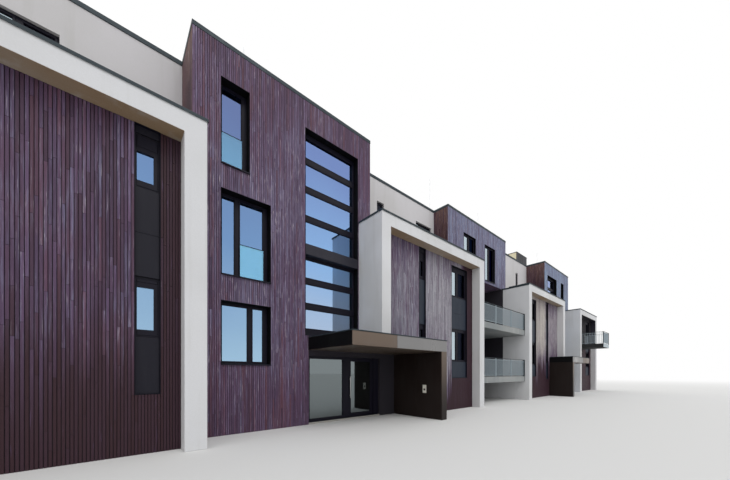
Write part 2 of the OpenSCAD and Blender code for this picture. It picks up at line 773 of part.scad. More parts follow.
// The guards stand on the face of the frames and lap over the rails
module window_guards(side) {
    for (w = [tower_windows(side)[1], tower_windows(side)[2]])
        box(w[0] + rails(w)[0] - guard_lap, reveal - glass_t, w[1],
            w[0] + (w[4] > 0 ? w[4] - mullion_w / 2 : w[2] - frame_w) + guard_lap, reveal, w[1] + guard_h);
}
module tower_glass() {
    color("#8fb0c8") place() for (side = [0, 1]) house(side) {
        plate(stair_recess + (frame_d - glass_t) / 2, glass_t) stair_panes();
        sidelights();
        window_guards(side);
    }
}
module at_right_bay() {
    translate([right_x0, 0, 0]) children();
}
module window_frames() {
    color("#1c1a26") place() {
        for (side = [0, 1]) house(side) {
            framed(tower_windows(side), reveal);
            for (s = strip_posts) framed(strip(s), timber_y + groove);
        }
        for (s = left_strips) framed(strip(s), timber_y + groove);
        at_right_bay() {
            for (s = right_strips) framed(strip(s), timber_y + groove);
            framed(balcony_door, timber_y + groove);
        }
        framed(recess_windows, recess_y + groove);
        for (side = [0, 1]) house(side) framed(wall_windows, upper_y + groove);
        framed(end_windows, upper_y + groove);
        framed(block_windows, block_y + groove);
    }
}
module back_window_frames() {
    color("#1c1a26") place() framed(back_windows, depth - reveal - frame_d);
}
module storey_glass(i) {
    color("#8fb0c8") place() {
        for (side = [0, 1]) house(side) {
            window_glass([tower_windows(side)[i]], reveal);
            if (i < 2) for (s = strip_posts)
                window_glass([strip(s)[1 - i]], timber_y + groove);
            if (i == 2) window_glass(wall_windows, upper_y + groove);
        }
        if (i < 2) {
            for (s = left_strips) window_glass([strip(s)[1 - i]], timber_y + groove);
            at_right_bay() for (s = right_strips)
                window_glass([strip(s)[1 - i]], timber_y + groove);
            window_glass([for (k = [0, 1]) recess_windows[2 * i + k]], recess_y + groove);
        }
        if (i == 1) at_right_bay() window_glass(balcony_door, timber_y + groove);
        if (i == 2) {
            window_glass(end_windows, upper_y + groove);
            window_glass(block_windows, block_y + groove);
        }
        window_glass([for (k = [0:back_count - 1]) back_windows[i * back_count + k]],
            depth - reveal - frame_d);
    }
}
module ground_glass() {
    storey_glass(0);
}
module first_glass() {
    storey_glass(1);
}
module second_glass() {
    storey_glass(2);
}
module strip_panel_set(strips) {
    plate(timber_y + groove - panel_t, panel_t) for (s = strips) {
        windows = strip(s);
        rect(s[0], windows[1][1] + windows[1][3], s[0] + s[1], windows[0][1]);
        rect(s[0], strip_foot_z(s), s[0] + s[1], windows[1][1]);
        if (is_slim(s)) rect(s[0], strip_z1(s), s[0] + s[1], strip_top(s));
    }
}
module strip_panels() {
    color("#2f3540") place() {
        for (side = [0, 1]) house(side) strip_panel_set(strip_posts);
        strip_panel_set(left_strips);
        at_right_bay() strip_panel_set(right_strips);
    }
}

// Roof
module portal_trim(x0, x1) {
    translate([0, 0, portal_top]) linear_extrude(trim_t) difference() {
        rect(x0 - coping_lip, -portal_out - coping_lip, x1 + coping_lip, -coping_lip);
        rect(x0 + side_w + coping_lip, timber_y + coping_lip, x1 - side_w - coping_lip, 0);
    }
}
module copings() {
    color("#2f3a40") place() {
        translate([0, 0, wall_top]) linear_extrude(coping_t) difference() {
            roof_outline(coping_lip);
            roof_inside(coping_lip);
        }
        portal_trim(0, end_bay_w);
        portal_trim(bay_a_x0, bay_a_x1);
        portal_trim(bay_b_x0, bay_b_x1);
        portal_trim(right_x0, row_w);
    }
}
module roof_boxes() {
    color("#3a3a40") place() for (side = [0, 1]) house(side)
        translate([tower_in + roof_box_x, roof_box_y, roof_z]) difference() {
            cube([roof_box_w, roof_box_d, roof_box_h]);
            translate([roof_box_t, roof_box_t, -1])
                cube([roof_box_w - 2 * roof_box_t, roof_box_d - 2 * roof_box_t,
                    roof_box_h - roof_box_t + 1]);
        }
}
rod_y = upper_y + rod_in;
rod_foot_r = 45;
rod_foot_h = 25;
// Places of the rods in X: left and right of the recess's middle, and on the towers
rod_xs = [axis_x - recess_w * 0.52, axis_x + recess_w * 0.447,
    bay_a_x1 - tower_in - tower_w * 0.68, bay_b_x0 + tower_in + tower_w * 0.68];
module lightning_rods() {
    color("white") place() for (x = rod_xs) translate([x, rod_y, roof_z]) {
        cylinder(r = rod_foot_r, h = rod_foot_h, $fn = 32);
        cylinder(r = rod_r, h = rod_h, $fn = 16);
    }
}

ground_floor();
first_floor();
second_floor();
roof_slab();
lobby_floors();
lobby_walls();
party_walls();
back_wall();
tower_fronts();
upper_side_walls();
entrance_piers();
entrance_lintels();
house_portals();
end_portals();
house_timber_walls();
end_timber_walls();
upper_white_walls();
centre_block_front();
centre_block_floor();
recess_back_wall();
balcony_slabs();
end_balcony();
railings();
canopies();
canopy_walls();
stair_frames();
window_frames();
back_window_frames();
strip_panels();
ground_glass();
first_glass();
second_glass();
tower_glass();
entrance_screens();
door_hinges();
door_leaf_a();
door_leaf_b();
door_glass_a();
door_glass_b();
door_pull_a();
door_pull_b();
copings();
roof_boxes();
lightning_rods();
call_plates();
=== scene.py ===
"""Dresses the packed half-size house row: timber, joinery, glass, render, sheet metal and railings."""

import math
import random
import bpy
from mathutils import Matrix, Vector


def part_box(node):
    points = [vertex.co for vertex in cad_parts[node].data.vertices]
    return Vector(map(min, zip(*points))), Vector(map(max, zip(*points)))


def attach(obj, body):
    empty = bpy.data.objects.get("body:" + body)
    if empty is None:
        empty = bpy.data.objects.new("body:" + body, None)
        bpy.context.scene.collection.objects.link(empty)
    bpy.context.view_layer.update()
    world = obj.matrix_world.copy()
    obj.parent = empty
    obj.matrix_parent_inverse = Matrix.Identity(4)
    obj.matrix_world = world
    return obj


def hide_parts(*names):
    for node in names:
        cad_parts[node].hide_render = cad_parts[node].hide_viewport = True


bl_info = {
    "name": "Terraced House Row",
    "version": (1, 0, 0),
    "blender": (4, 5, 0),
    "location": "View3D > Sidebar > House Row",
    "description": "Builds the cladding, windows, canopies, railings and roof of a half-size house row",
    "category": "Object",
}

import bpy
from bpy.props import FloatProperty, FloatVectorProperty, IntProperty, PointerProperty
from mathutils import Matrix, Vector

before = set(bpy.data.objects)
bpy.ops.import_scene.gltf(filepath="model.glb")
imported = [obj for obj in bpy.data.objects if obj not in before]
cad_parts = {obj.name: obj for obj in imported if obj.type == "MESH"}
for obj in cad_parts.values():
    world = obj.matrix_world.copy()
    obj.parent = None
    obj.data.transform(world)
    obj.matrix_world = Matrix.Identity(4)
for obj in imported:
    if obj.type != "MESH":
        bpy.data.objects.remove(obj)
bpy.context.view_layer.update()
ROW = "house_row"


def linear(code):
    """A colour written as six hex digits, as linear red, green and blue."""
    parts = [int(code[i : i + 2], 16) / 255 for i in (0, 2, 4)]
    return tuple(c / 12.92 if c <= 0.04045 else ((c + 0.055) / 1.055) ** 2.4 for c in parts)


def size(name, description, default, low=0.0, high=10.0):
    return FloatProperty(name=name, description=description, default=default, min=low, max=high,
                         unit="LENGTH")


def colour(name, description, code):
    return FloatVectorProperty(
        name=name, description=description, default=linear(code), min=0, max=1, subtype="COLOR", size=3
    )


class TimberSettings(bpy.types.PropertyGroup):
    """Battens of the timber walls."""

    pitch: size("Pitch", "Distance from one batten to the next", 0.028, 0.015, 0.1)
    gap: size("Gap", "Open joint between two battens", 0.005, 0.001, 0.01)
    depth: size("Depth", "How far the battens stand proud of the wall", 0.009, 0.004, 0.012)
    chamfer: size("Chamfer", "Chamfer of a batten's front edges", 0.0022, 0.0005, 0.004)
    shortest: size("Shortest", "Shortest length of a batten", 0.30, 0.1, 1.0)
    longest: size("Longest", "Longest length of a batten", 1.35, 0.5, 3.0)
    butt: size("Butt", "Open joint between two battens in one line", 0.003, 0.001, 0.01)
    seed: IntProperty(name="Seed", description="Start of the random lengths and tones", default=7, min=0)
    gap_colour: colour("Joint", "Colour between the battens", "100a12")
    sheltered: colour("Sheltered", "Stain in sheltered places", "321a22")
    dark: colour("Dark", "Darkest boards", "4a364e")
    plum: colour("Plum", "Main colour of the stain", "614863")
    red: colour("Red", "Reddish boards", "6b4451")
    # Violet and blue below are a painted sky reflection on boards seen at a glancing angle, not a stain or
    # weathering
    violet: colour("Violet", "Cooler stain out of the sun", "5b587e")
    brown: colour("Brown", "Warm stain of the upper side walls", "52342e")
    # Sunlit is painted sunlight on the upper side walls near their top, not bleaching
    sunlit: colour("Sunny", "Sun-bleached boards of the upper side walls", "8c6f5a")
    blue: colour("Blue", "Weathered boards out of the sun", "8fa6c0")
    grey: colour("Grey", "Weathered boards", "837c98")
    tan: colour("Tan", "Sun-bleached boards", "c6bfb4")
    pale: colour("Pale", "Flakes where the stain has gone", "b9adb8")


class WallSettings(bpy.types.PropertyGroup):
    """Rendered and painted walls."""

    white: colour("Render", "Smooth white render", "d4d5d8")
    # Upper render is the white render darkened as painted shade on the set-back walls
    upper: colour("Upper render", "Duller render of the set-back walls", "cac8cb")
    stain: colour("Stain", "Rain marks on the render", "b4b3b0")
    # Reveal: painted shade, warm and dark, under the portal beams and faintly on their inner sides
    reveal: colour("Reveal", "Warmer paint inside the portals", "846330")
    dark: colour("Dark wall", "Dark painted walls at the entrances and in the recess", "231f28")
    concrete: colour("Concrete", "Floors", "a3a19c")
    slab: colour("Balcony slab", "Painted edges of the balcony slabs", "767c7e")
    # Dark slab: painted shade on the end balcony's slab
    dark_slab: colour("Dark slab", "Painted slab of the end balcony", "232426")
    dark_from: size("Dark part", "From the towers' front to the recess's dark side walls", 0.185, 0, 1)
    gravel: colour("Gravel", "Roof gravel", "8e8c88")
    ease: size("Edge", "Rounding of the render's corners", 0.004, 0.001, 0.01)


class JoinerySettings(bpy.types.PropertyGroup):
    """Windows and doors."""

    colour: colour("Frames", "Coated window frames", "0e0c1b")
    # Linings are near-black as painted shade in the deep openings and on the canopies' sides
    shade: colour("Linings", "Sheet that lines the deep openings", "08080a")
    panel: colour("Panels", "Panels between the windows", "1d2634")
    # Left panels also serve the topmost panel of each strip, darker as painted shade under the portal beams
    left_panel: colour("Left panels", "Panels of the left end bay and over narrow strips", "11101d")
    band: colour("Band", "Flush band in the stair glazing", "22212c")
    frame_rail: size("Frame", "Width of a window's outer frame", 0.020, 0.01, 0.03)
    stile: size("Stile", "Width of a sash's stile beside a mullion", 0.019, 0.01, 0.03)
    bead: size("Bead", "Width of the glazing bead", 0.006, 0.003, 0.01)
    proud: size("Proud", "How far a sash stands in front of its frame", 0.004, 0.001, 0.01)
    lining: size("Lining", "Thickness of the sheet that lines an opening", 0.005, 0.002, 0.01)
    sill_out: size("Sill", "Reach of a window sill in front of the wall", 0.020, 0.005, 0.05)
    # The glass colours below change with height as a painted sky reflection, over the coating's blue
    glass_high: colour("Glass, top", "Coated glass near the roof", "7082b2")
    glass_mid: colour("Glass, middle", "Coated glass of the first floor", "799dcb")
    glass_low: colour("Glass, foot", "Coated glass near the ground", "a5c8e2")
    stair_high: colour("Stair glass, top", "Top panes of the stair glazing", "7c93ca")
    stair_mid: colour("Stair glass, middle", "Middle panes of the stair glazing", "92bbea")
    stair_low: colour("Stair glass, foot", "Lowest panes of the stair glazing", "bfcbdc")
    entrance: colour("Entrance glass", "Glass of the entrance sidelights", "7d8587")
    glass_pale: colour("Pale glass", "Glass that mirrors the bright horizon", "bccbd4")
    glass_dark: colour("Dark glass", "Glass in front of dark rooms", "2b2d35")
    guard_high: colour("Guard, top", "Upper glass guards", "7ea6cc")
    guard_low: colour("Guard, foot", "Lower glass guards", "92d0f2")


class MetalSettings(bpy.types.PropertyGroup):
    """Sheet metal, railings and fittings."""

    coping: colour("Coping", "Roof edge sheet", "2b363c")
    canopy: colour("Canopy", "Entrance canopy sheet", "6a5c51")
    # The greyer part beyond the fascia's joint is a painted sheen; the joint is real
    canopy_grey: colour("Canopy, grey part", "Greyer sheet beyond the fascia's joint", "807f7f")
    canopy_seam: FloatProperty(name="Canopy joint", description="Share of the fascia before its joint",
                               default=0.4, min=0.1, max=0.9, subtype="FACTOR")
    # Lining is made near-black as painted shade on the canopy walls; the call plates' fields and the canopy
    # sheet's foot use it too
    lining: colour("Lining", "Dark sheet on the canopy wall", "1a110e")
    railing: colour("Railing", "Railing bars", "a9b6be")
    handrail: colour("Handrail", "Handrail and posts", "333c42")
    roof_box: colour("Lift overrun", "Sheet on the lift overruns", "3c3b40")
    # Overrun side: pale as painted sunlight on the overruns' sides
    sunlit_box_side: colour("Overrun side", "Pale sheet on the lift overruns' sides", "f0e6c4")
    steel: colour("Steel", "Hinges, pulls and call plates", "b9bab9")
    plate: colour("Call plate", "Pale blank call plates", "d9d6cb")
    rod: colour("Rod", "Lightning rods", "e2e4e6")
    bar_pitch: size("Bar pitch", "Distance between railing bars", 0.060, 0.03, 0.1)
    bar_width: size("Bar width", "Width of a railing bar", 0.007, 0.003, 0.01)
    bar_depth: size("Bar depth", "Depth of a railing bar", 0.014, 0.008, 0.04)
    joint_pitch: size("Joint pitch", "Distance between the coping's joints", 1.2, 0.5, 3.0)


class StageSettings(bpy.types.PropertyGroup):
    """Camera, lamps and floor."""

    camera_x: size("Camera X", "Camera place along the row", -8.185, -100, 100)
    camera_y: size("Camera Y", "Camera place in front of the row", -6.596, -100, 100)
    camera_z: size("Camera Z", "Camera height", 0.845, 0, 100)
    heading: FloatProperty(name="Heading", description="Camera's turn from +Y to +X",
                           default=math.radians(40.77), subtype="ANGLE")
    lens: FloatProperty(name="Lens", description="Focal length", default=14.58, min=1, unit="CAMERA")
    shift: FloatProperty(name="Shift", description="Upward shift of the view", default=0.182)
    sun: FloatProperty(name="Sun", description="Strength of the key lamp", default=0.75, min=0)
    fill: FloatProperty(name="Fill", description="Strength of the soft lamp on the left", default=0.5, min=0)
    sky: FloatProperty(name="Sky", description="Strength of the light all round", default=0.80, min=0)
    floor: colour("Floor", "Plain pale floor", "dcdcdb")


SETTINGS = {
    "row_timber": TimberSettings,
    "row_walls": WallSettings,
    "row_joinery": JoinerySettings,
    "row_metal": MetalSettings,
    "row_stage": StageSettings,
}


# Shaders


class Wire:
    """A shader socket that Python's operators act on."""

    def __init__(self, shader, socket):
        self.shader = shader
        self.socket = socket

    def maths(self, operation, first, second):
        return self.shader.node("ShaderNodeMath", {"operation": operation}, {0: first, 1: second})

    def __add__(self, other):
        return self.maths("ADD", self, other)

    def __sub__(self, other):
        return self.maths("SUBTRACT", self, other)

    def __rsub__(self, other):
        return self.maths("SUBTRACT", other, self)

    def __mul__(self, other):
        return self.maths("MULTIPLY", self, other)

    def larger(self, other):
        return self.maths("MAXIMUM", self, other)

    __radd__ = __add__
    __rmul__ = __mul__


class Shader:
    """The nodes of a new material, or of the world."""

    def __init__(self, name, owner=None):
        self.owner = owner or bpy.data.materials.new(name)
        self.owner.use_nodes = True
        self.tree = self.owner.node_tree
        self.tree.nodes.clear()

    def node(self, kind, settings=None, sockets=None, out=0):
        """Adds a node: its type, its settings and the values or links of its sockets."""
        node = self.tree.nodes.new(kind)
        for key, value in (settings or {}).items():
            if key == "stops":
                ramp = node.color_ramp.elements
                while len(ramp) < len(value):
                    ramp.new(1.0)
                for stop, (place, shade) in zip(ramp, value):
                    stop.position = place
                    stop.color = (*shade[:3], 1)
            else:
                setattr(node, key, value)
        for key, value in (sockets or {}).items():
            if isinstance(value, Wire):
                self.tree.links.new(value.socket, node.inputs[key])
            else:
                node.inputs[key].default_value = value
        return Wire(self, node.outputs[out] if len(node.outputs) else None)

    def place(self, stretch=(1, 1, 1), shift=None):
        """Object coordinates, stretched, and shifted by a value."""
        here = self.node("ShaderNodeTexCoord", out="Object")
        here = self.node("ShaderNodeVectorMath", {"operation": "MULTIPLY"}, {0: here, 1: stretch})
        if shift is None:
            return here
        return self.node("ShaderNodeVectorMath", {"operation": "ADD"}, {0: here, 1: shift})

    def noise(self, scale, stretch=(1, 1, 1), shift=None, detail=3.0):
        return self.node("ShaderNodeTexNoise", None,
                         {"Vector": self.place(stretch, shift), "Scale": scale, "Detail": detail})

    def attribute(self, name):
        return self.node("ShaderNodeAttribute", {"attribute_name": name}, out="Fac")

    def height(self):
        here = self.node("ShaderNodeTexCoord", out="Object")
        return self.node("ShaderNodeSeparateXYZ", None, {0: here}, out="Z")

    def ramp(self, value, *stops):
        return self.node("ShaderNodeValToRGB", {"stops": stops}, {"Fac": value})

    def step(self, value, low, high, start=0.0, end=1.0):
        """Runs smoothly from start to end as the value goes from low to high."""
        return self.node("ShaderNodeMapRange", {"interpolation_type": "SMOOTHSTEP"},
                         {"Value": value, "From Min": low, "From Max": high, "To Min": start, "To Max": end})

    def mix(self, factor, first, second):
        """Mixes two colours."""
        first, second = (c if isinstance(c, Wire) else (*c[:3], 1) for c in (first, second))
        return self.node("ShaderNodeMix", {"data_type": "RGBA"}, {0: factor, 6: first, 7: second}, out=2)

    def bump(self, height, strength, distance):
        return self.node("ShaderNodeBump", None,
                         {"Height": height, "Strength": strength, "Distance": distance})

    def surface(self, **sockets):
        """Ends the tree in a Principled shader and gives the material."""
        names = {key.replace("_", " ").title().replace("Ior", "IOR"): value for key, value in sockets.items()}
        for key, value in names.items():
            if key in ("Base Color", "Emission Color") and not isinstance(value, Wire):
                names[key] = (*value[:3], 1)
        shader = self.node("ShaderNodeBsdfPrincipled", None, names)
        self.node("ShaderNodeOutputMaterial", None, {"Surface": shader})
        return self.owner


def scaled(shade, factor):
    """A colour made darker or lighter."""
    return tuple(min(1, c * factor) for c in shade)


def timber_material(name, timber):
    """Stained boards: tone and weathering come from the boards, streaks run along them."""
    s = Shader(name)
    tone, fade, tan, cool = (s.attribute(mark) for mark in BOARD_MARKS)
    shift = s.node("ShaderNodeCombineXYZ", None, {0: tone * 37, 1: tone * 61, 2: tone * 23})
    lot = s.node("ShaderNodeMath", {"operation": "FRACT"}, {0: tone * 17.3})
    streak = s.noise(1.0, (70, 70, 3.6), shift, 4.0)
    flake = s.noise(1.0, (130, 130, 6), shift, 3.0)
    patch = s.noise(1.4, (1, 1, 0.7), None, 2.0)
    ruddy = s.noise(2.3, (1, 1, 0.5), None, 2.0)
    grain = s.noise(1.0, (420, 420, 14), shift, 2.0)
    crack = s.noise(1.0, (150, 150, 9), shift, 2.0)
    stain = s.ramp(tone, (0.0, timber.dark), (0.3, timber.plum), (0.55, timber.plum), (0.72, timber.red),
                   (0.86, timber.dark), (1.0, timber.plum))
    stain = s.mix(s.step(ruddy, 0.52, 0.7, 0.0, 0.5), stain, timber.red)
    # The tint turns the stain violet as a painted sky reflection, and brown on the upper side walls
    stain = s.mix(cool * 0.8, stain, timber.violet)
    stain = s.mix(cool * -0.8, stain, timber.brown)
    stain = s.mix(s.step(fade, 0.05, 0.3), timber.sheltered, stain)
    # Worn follows the fading, so it carries the painted sunlight and painted shade as well as wear
    worn = fade * 0.9 + ((streak - 0.5) * 1.3 + (patch - 0.5) * 0.6) * s.step(fade, 0.0, 0.3, 0.25, 1.0)
    # The tint turns worn boards blue as a painted sky reflection, and to the sunlit colour on the side walls
    # as painted sunlight
    bleached = s.mix(tan, s.mix(cool, timber.grey, timber.blue), timber.tan)
    bleached = s.mix(cool * -1.0, bleached, timber.sunlit)
    shade = s.mix(s.step(worn, 0.12, 0.85), stain, bleached)
    shade = s.mix(s.step(lot, 0.0, 1.0, 0.42, 0.0) * s.step(fade, 0.0, 0.3, 0.3, 1.0), shade, timber.dark)
    shade = s.mix(s.step(flake, 0.60, 0.68) * s.step(worn, 0.05, 0.75), shade, timber.pale)
    shade = s.mix(s.step(crack, 0.36, 0.28) * s.step(fade, 0.2, 0.8, 0.2, 0.9), shade, timber.dark)
    shade = s.mix(s.step(streak, 0.36, 0.24), shade, timber.dark)
    shade = s.mix(s.step(grain, 0.3, 0.62, 0.22, 0.0), shade, timber.gap_colour)
    rough = s.step(worn, 0.0, 0.9, 0.6, 0.82)
    return s.surface(base_color=shade, roughness=rough, specular_ior_level=0.3,
                     normal=s.bump(grain + streak, 0.35, 0.0015))


def plaster_material(name, shade, stain, roughness=0.86, reveal=None):
    """Smooth render with faint clouds and rain marks; faces marked as reveals take the reveal colour as
    painted shade.
    """
    s = Shader(name)
    if reveal:
        shade = s.mix(s.attribute("reveal"), shade, reveal)
    cloud = s.noise(0.9, (1, 1, 1), None, 4.0)
    marks = s.noise(1.0, (7, 7, 0.55), None, 4.0)
    fine = s.noise(95.0, (1, 1, 1), None, 5.0)
    tone = s.mix(s.step(cloud, 0.35, 0.7, 0.0, 0.35), shade, stain)
    tone = s.mix(s.step(marks, 0.54, 0.76, 0.0, 0.32), tone, stain)
    tone = s.mix(s.step(fine, 0.35, 0.7, 0.10, 0.0), tone, stain)
    return s.surface(base_color=tone, roughness=roughness, normal=s.bump(fine, 0.35, 0.002))


def coated_material(name, shade, roughness=0.42, metallic=0.0, wear=0.5, gloss=0.5, foot=None):
    """Powder-coated or painted sheet with faint dirt and soft waves in its gloss."""
    s = Shader(name)
    dirt = s.noise(2.2, (1, 1, 0.6), None, 4.0)
    runs = s.noise(1.0, (16, 16, 1.1), None, 3.0)
    fine = s.noise(240.0, (1, 1, 1), None, 2.0)
    dusty = tuple(c * 0.6 + 0.10 for c in shade)
    tone = s.mix(s.step(dirt, 0.42, 0.75, 0.0, 0.45 * wear), shade, dusty)
    tone = s.mix(s.step(runs, 0.55, 0.75, 0.0, 0.40 * wear), tone, dusty)
    if foot:
        tone = s.mix(s.step(s.height(), 0.1, 1.5), foot, tone)
    rough = s.step(dirt + runs * 0.5, 0.5, 1.0, roughness - 0.06, roughness + 0.16)
    return s.surface(base_color=tone, roughness=rough, metallic=metallic, specular_ior_level=gloss,
                     normal=s.bump(fine, 0.12, 0.0006))


def concrete_material(name, shade):
    """Plain concrete with clouds and pores."""
    s = Shader(name)
    cloud = s.noise(1.7, (1, 1, 1), None, 5.0)
    pores = s.noise(60.0, (1, 1, 1), None, 4.0)
    dark = scaled(shade, 0.62)
    tone = s.mix(s.step(cloud, 0.36, 0.72, 0.0, 0.5), shade, dark)
    tone = s.mix(s.step(pores, 0.60, 0.72, 0.0, 0.45), tone, dark)
    return s.surface(base_color=tone, roughness=0.82, normal=s.bump(pores, 0.4, 0.003))


def gravel_material(name, shade):
    """Rounded stones of three tones."""
    s = Shader(name)
    cells = {"Vector": s.place(), "Scale": 42.0}
    stone = s.node("ShaderNodeTexVoronoi", {"feature": "F1"}, cells, out="Distance")
    tint = s.node("ShaderNodeTexVoronoi", {"feature": "F1"}, cells, out="Color")
    pick = s.node("ShaderNodeSeparateColor", None, {0: tint}, out=0)
    tone = s.ramp(pick, (0.0, scaled(shade, 0.45)), (0.5, shade), (1.0, scaled(shade, 1.7)))
    # Painted shade darkens each stone towards its rim and in the gaps between stones
    tone = s.mix(s.step(stone, 0.35, 0.75, 0.0, 0.7), tone, scaled(shade, 0.25))
    return s.surface(base_color=tone, roughness=0.9, normal=s.bump(1 - stone, 0.8, 0.012))


def glass_material(name, low, mid, high, alpha, tint=(1, 1, 1)):
    """Coated glass, blue from its coating, with a painted sky reflection: deeper high up and paler near the
    ground.
    """
    s = Shader(name)
    wave = s.noise(1.1, (1, 1, 1), None, 2.0)
    tone = s.ramp((s.height() + (wave - 0.5) * 0.6) * 0.2, (0.18, low), (0.54, mid), (0.92, high))
    return s.surface(base_color=tone, metallic=1.0, roughness=0.03, alpha=alpha,
                     specular_tint=(*tint, 1), normal=s.bump(wave, 0.01, 0.02))


def steel_material(name, shade, roughness=0.3):
    """Bare metal, brushed upright."""
    s = Shader(name)
    brush = s.noise(1.0, (30, 30, 700), None, 3.0)
    tone = s.mix(s.step(brush, 0.35, 0.7, 0.0, 0.3), shade, scaled(shade, 0.7))
    rough = s.step(brush, 0.3, 0.7, roughness, roughness + 0.15)
    return s.surface(base_color=tone, metallic=0.9, roughness=rough)


def make_materials():
    """Every finish, by name."""
    scene = bpy.context.scene
    timber, walls, joinery, metal = scene.row_timber, scene.row_walls, scene.row_joinery, scene.row_metal

    def one_tone(name, shade, alpha, **more):
        return glass_material(name, shade, shade, shade, alpha, **more)

    return {
        "timber": timber_material("weathered_timber", timber),
        "shaded_timber": coated_material("shaded_boards", timber.gap_colour, 0.7, wear=0.1, gloss=0.3),
        "batten_ground": coated_material("batten_ground", timber.gap_colour, 0.8, wear=0.2),
        "white": plaster_material("white_render", walls.white, walls.stain, reveal=walls.reveal),
        "upper": plaster_material("shaded_upper_render", walls.upper, walls.stain),
        "dark_wall": plaster_material("dark_render", walls.dark, scaled(walls.dark, 0.6)),
        "slab": plaster_material("slab_paint", walls.slab, walls.stain, 0.7),
        "dark_slab": plaster_material("shaded_slab_paint", walls.dark_slab, scaled(walls.dark_slab, 0.5)),
        "concrete": concrete_material("concrete", walls.concrete),
        "gravel": gravel_material("roof_gravel", walls.gravel),
        "joinery": coated_material("frame_coating", joinery.colour, 0.45, wear=0.06, gloss=0.2),
        "shade": coated_material("opening_shade_sheet", joinery.shade, 0.7, wear=0.05, gloss=0.1),
        "band": coated_material("band_sheet", joinery.band, 0.5, wear=0.2, gloss=0.3),
        "panel": coated_material("panel_coating", joinery.panel, 0.5, wear=0.2, gloss=0.3),
        "left_panel": coated_material("dark_panel_coating", joinery.left_panel, 0.5, wear=0.1, gloss=0.25),
        "glass": glass_material("coated_glass", joinery.glass_low, joinery.glass_mid,
                                joinery.glass_high, 0.88),
        "stair_glass": glass_material("stair_glass", joinery.stair_low, joinery.stair_mid,
                                      joinery.stair_high, 0.88),
        "guard": glass_material("guard_glass", joinery.guard_low, joinery.guard_low, joinery.guard_high, 0.6),
        "entrance_glass": one_tone("entrance_glass", joinery.entrance, 0.88),
        "pale_glass": one_tone("pale_glass", joinery.glass_pale, 0.92),
        "dark_glass": one_tone("dark_glass", joinery.glass_dark, 0.9, tint=(0.3, 0.31, 0.34)),
        "coping": coated_material("coping_sheet", metal.coping, 0.5, metallic=0.2, wear=0.3, gloss=0.3),
        "canopy": coated_material("canopy_sheet", metal.canopy, 0.34, metallic=0.5, foot=metal.lining),
        "canopy_grey": coated_material("canopy_sheen_sheet", metal.canopy_grey, 0.3, metallic=0.5),
        "lining": coated_material("canopy_lining", metal.lining, 0.55, wear=0.1, gloss=0.2),
        "railing": coated_material("railing_coating", metal.railing, 0.45, metallic=0.2, wear=0.3),
        "handrail": coated_material("handrail_coating", metal.handrail, 0.4, metallic=0.2, wear=0.2,
                                    gloss=0.3),
        "roof_box": coated_material("roof_box_sheet", metal.roof_box, 0.5, metallic=0.1, wear=0.3, gloss=0.3),
        "sunlit_box_side": coated_material("roof_sunlit_box_side", metal.sunlit_box_side, 0.5, wear=0.3),
        "plate": coated_material("call_plate_coating", metal.plate, 0.5, wear=0.1),
        "steel": steel_material("brushed_steel", metal.steel),
        "rod": steel_material("rod_metal", metal.rod, 0.45),
    }


# Shaping

# Sizes that many pieces share: a window frame's depth, a fine joint, and how far trims pass the battens
FRAME_DEPTH = 0.040
JOINT = 0.001
TRIM_PROUD = 0.003
# Widths of eased edges on thin sheet, on thicker parts and on the largest ones
CRISP, SOFT, ROUND = 0.001, 0.002, 0.003
HALF_TURN = Matrix.Rotation(math.pi, 4, "Z")


def alone(*pieces):
    """Selects these pieces only, with the last one active."""
    bpy.ops.object.select_all(action="DESELECT")
    for piece in pieces:
        piece.select_set(True)
    bpy.context.view_layer.objects.active = pieces[-1]


def ease(piece, width, segments=2):
    """Rounds a piece's sharp edges."""
    alone(piece)
    bevel = piece.modifiers.new("ease", "BEVEL")
    bevel.width = width
    bevel.segments = segments
    bevel.limit_method = "ANGLE"
    bevel.angle_limit = math.radians(35)
    bpy.ops.object.modifier_apply(modifier=bevel.name)
    return piece


def block(name, low, high, edge=0.0015, segments=1):
    """A block between two corners with eased edges."""
    low, high = Vector(low), Vector(high)
    bpy.ops.object.select_all(action="DESELECT")
    bpy.ops.mesh.primitive_cube_add(size=1, location=(low + high) / 2, scale=high - low)
    piece = bpy.context.object
    piece.name = name
    bpy.ops.object.transform_apply()
    return ease(piece, edge, segments) if edge else piece


def ring(name, low, high, rail, edge=0.0012):
    """An upright frame cut from one plate, with one rail width or one each for left, right, foot and head."""
    low, high = Vector(low), Vector(high)
    middle = (low + high) / 2
    wide, tall = high.x - low.x, high.z - low.z
    left, right, foot, head = rail if isinstance(rail, tuple) else (rail,) * 4
    least = min(left, right, foot, head)
    bpy.ops.object.select_all(action="DESELECT")
    bpy.ops.mesh.primitive_plane_add(size=1, location=(middle.x, low.y, middle.z),
                                     rotation=(math.pi / 2, 0, 0))
    piece = bpy.context.object
    piece.name = name
    bpy.ops.transform.resize(value=(wide, 1, tall))
    bpy.ops.object.transform_apply()
    bpy.ops.object.mode_set(mode="EDIT")
    bpy.ops.mesh.select_all(action="SELECT")
    bpy.ops.mesh.inset(thickness=least)
    if max(left, right, foot, head) > least:
        bpy.ops.transform.resize(value=((wide - left - right) / (wide - 2 * least), 1,
                                        (tall - foot - head) / (tall - 2 * least)),
                                 center_override=(middle.x, low.y, middle.z))
        bpy.ops.transform.translate(value=((left - right) / 2, 0, (foot - head) / 2))
    bpy.ops.mesh.delete(type="FACE")
    bpy.ops.mesh.select_all(action="SELECT")
    bpy.ops.mesh.extrude_region_move(TRANSFORM_OT_translate={"value": (0, high.y - low.y, 0)})
    bpy.ops.mesh.select_all(action="SELECT")
    bpy.ops.mesh.normals_make_consistent(inside=False)
    bpy.ops.object.mode_set(mode="OBJECT")
    return ease(piece, edge, 1) if edge else piece


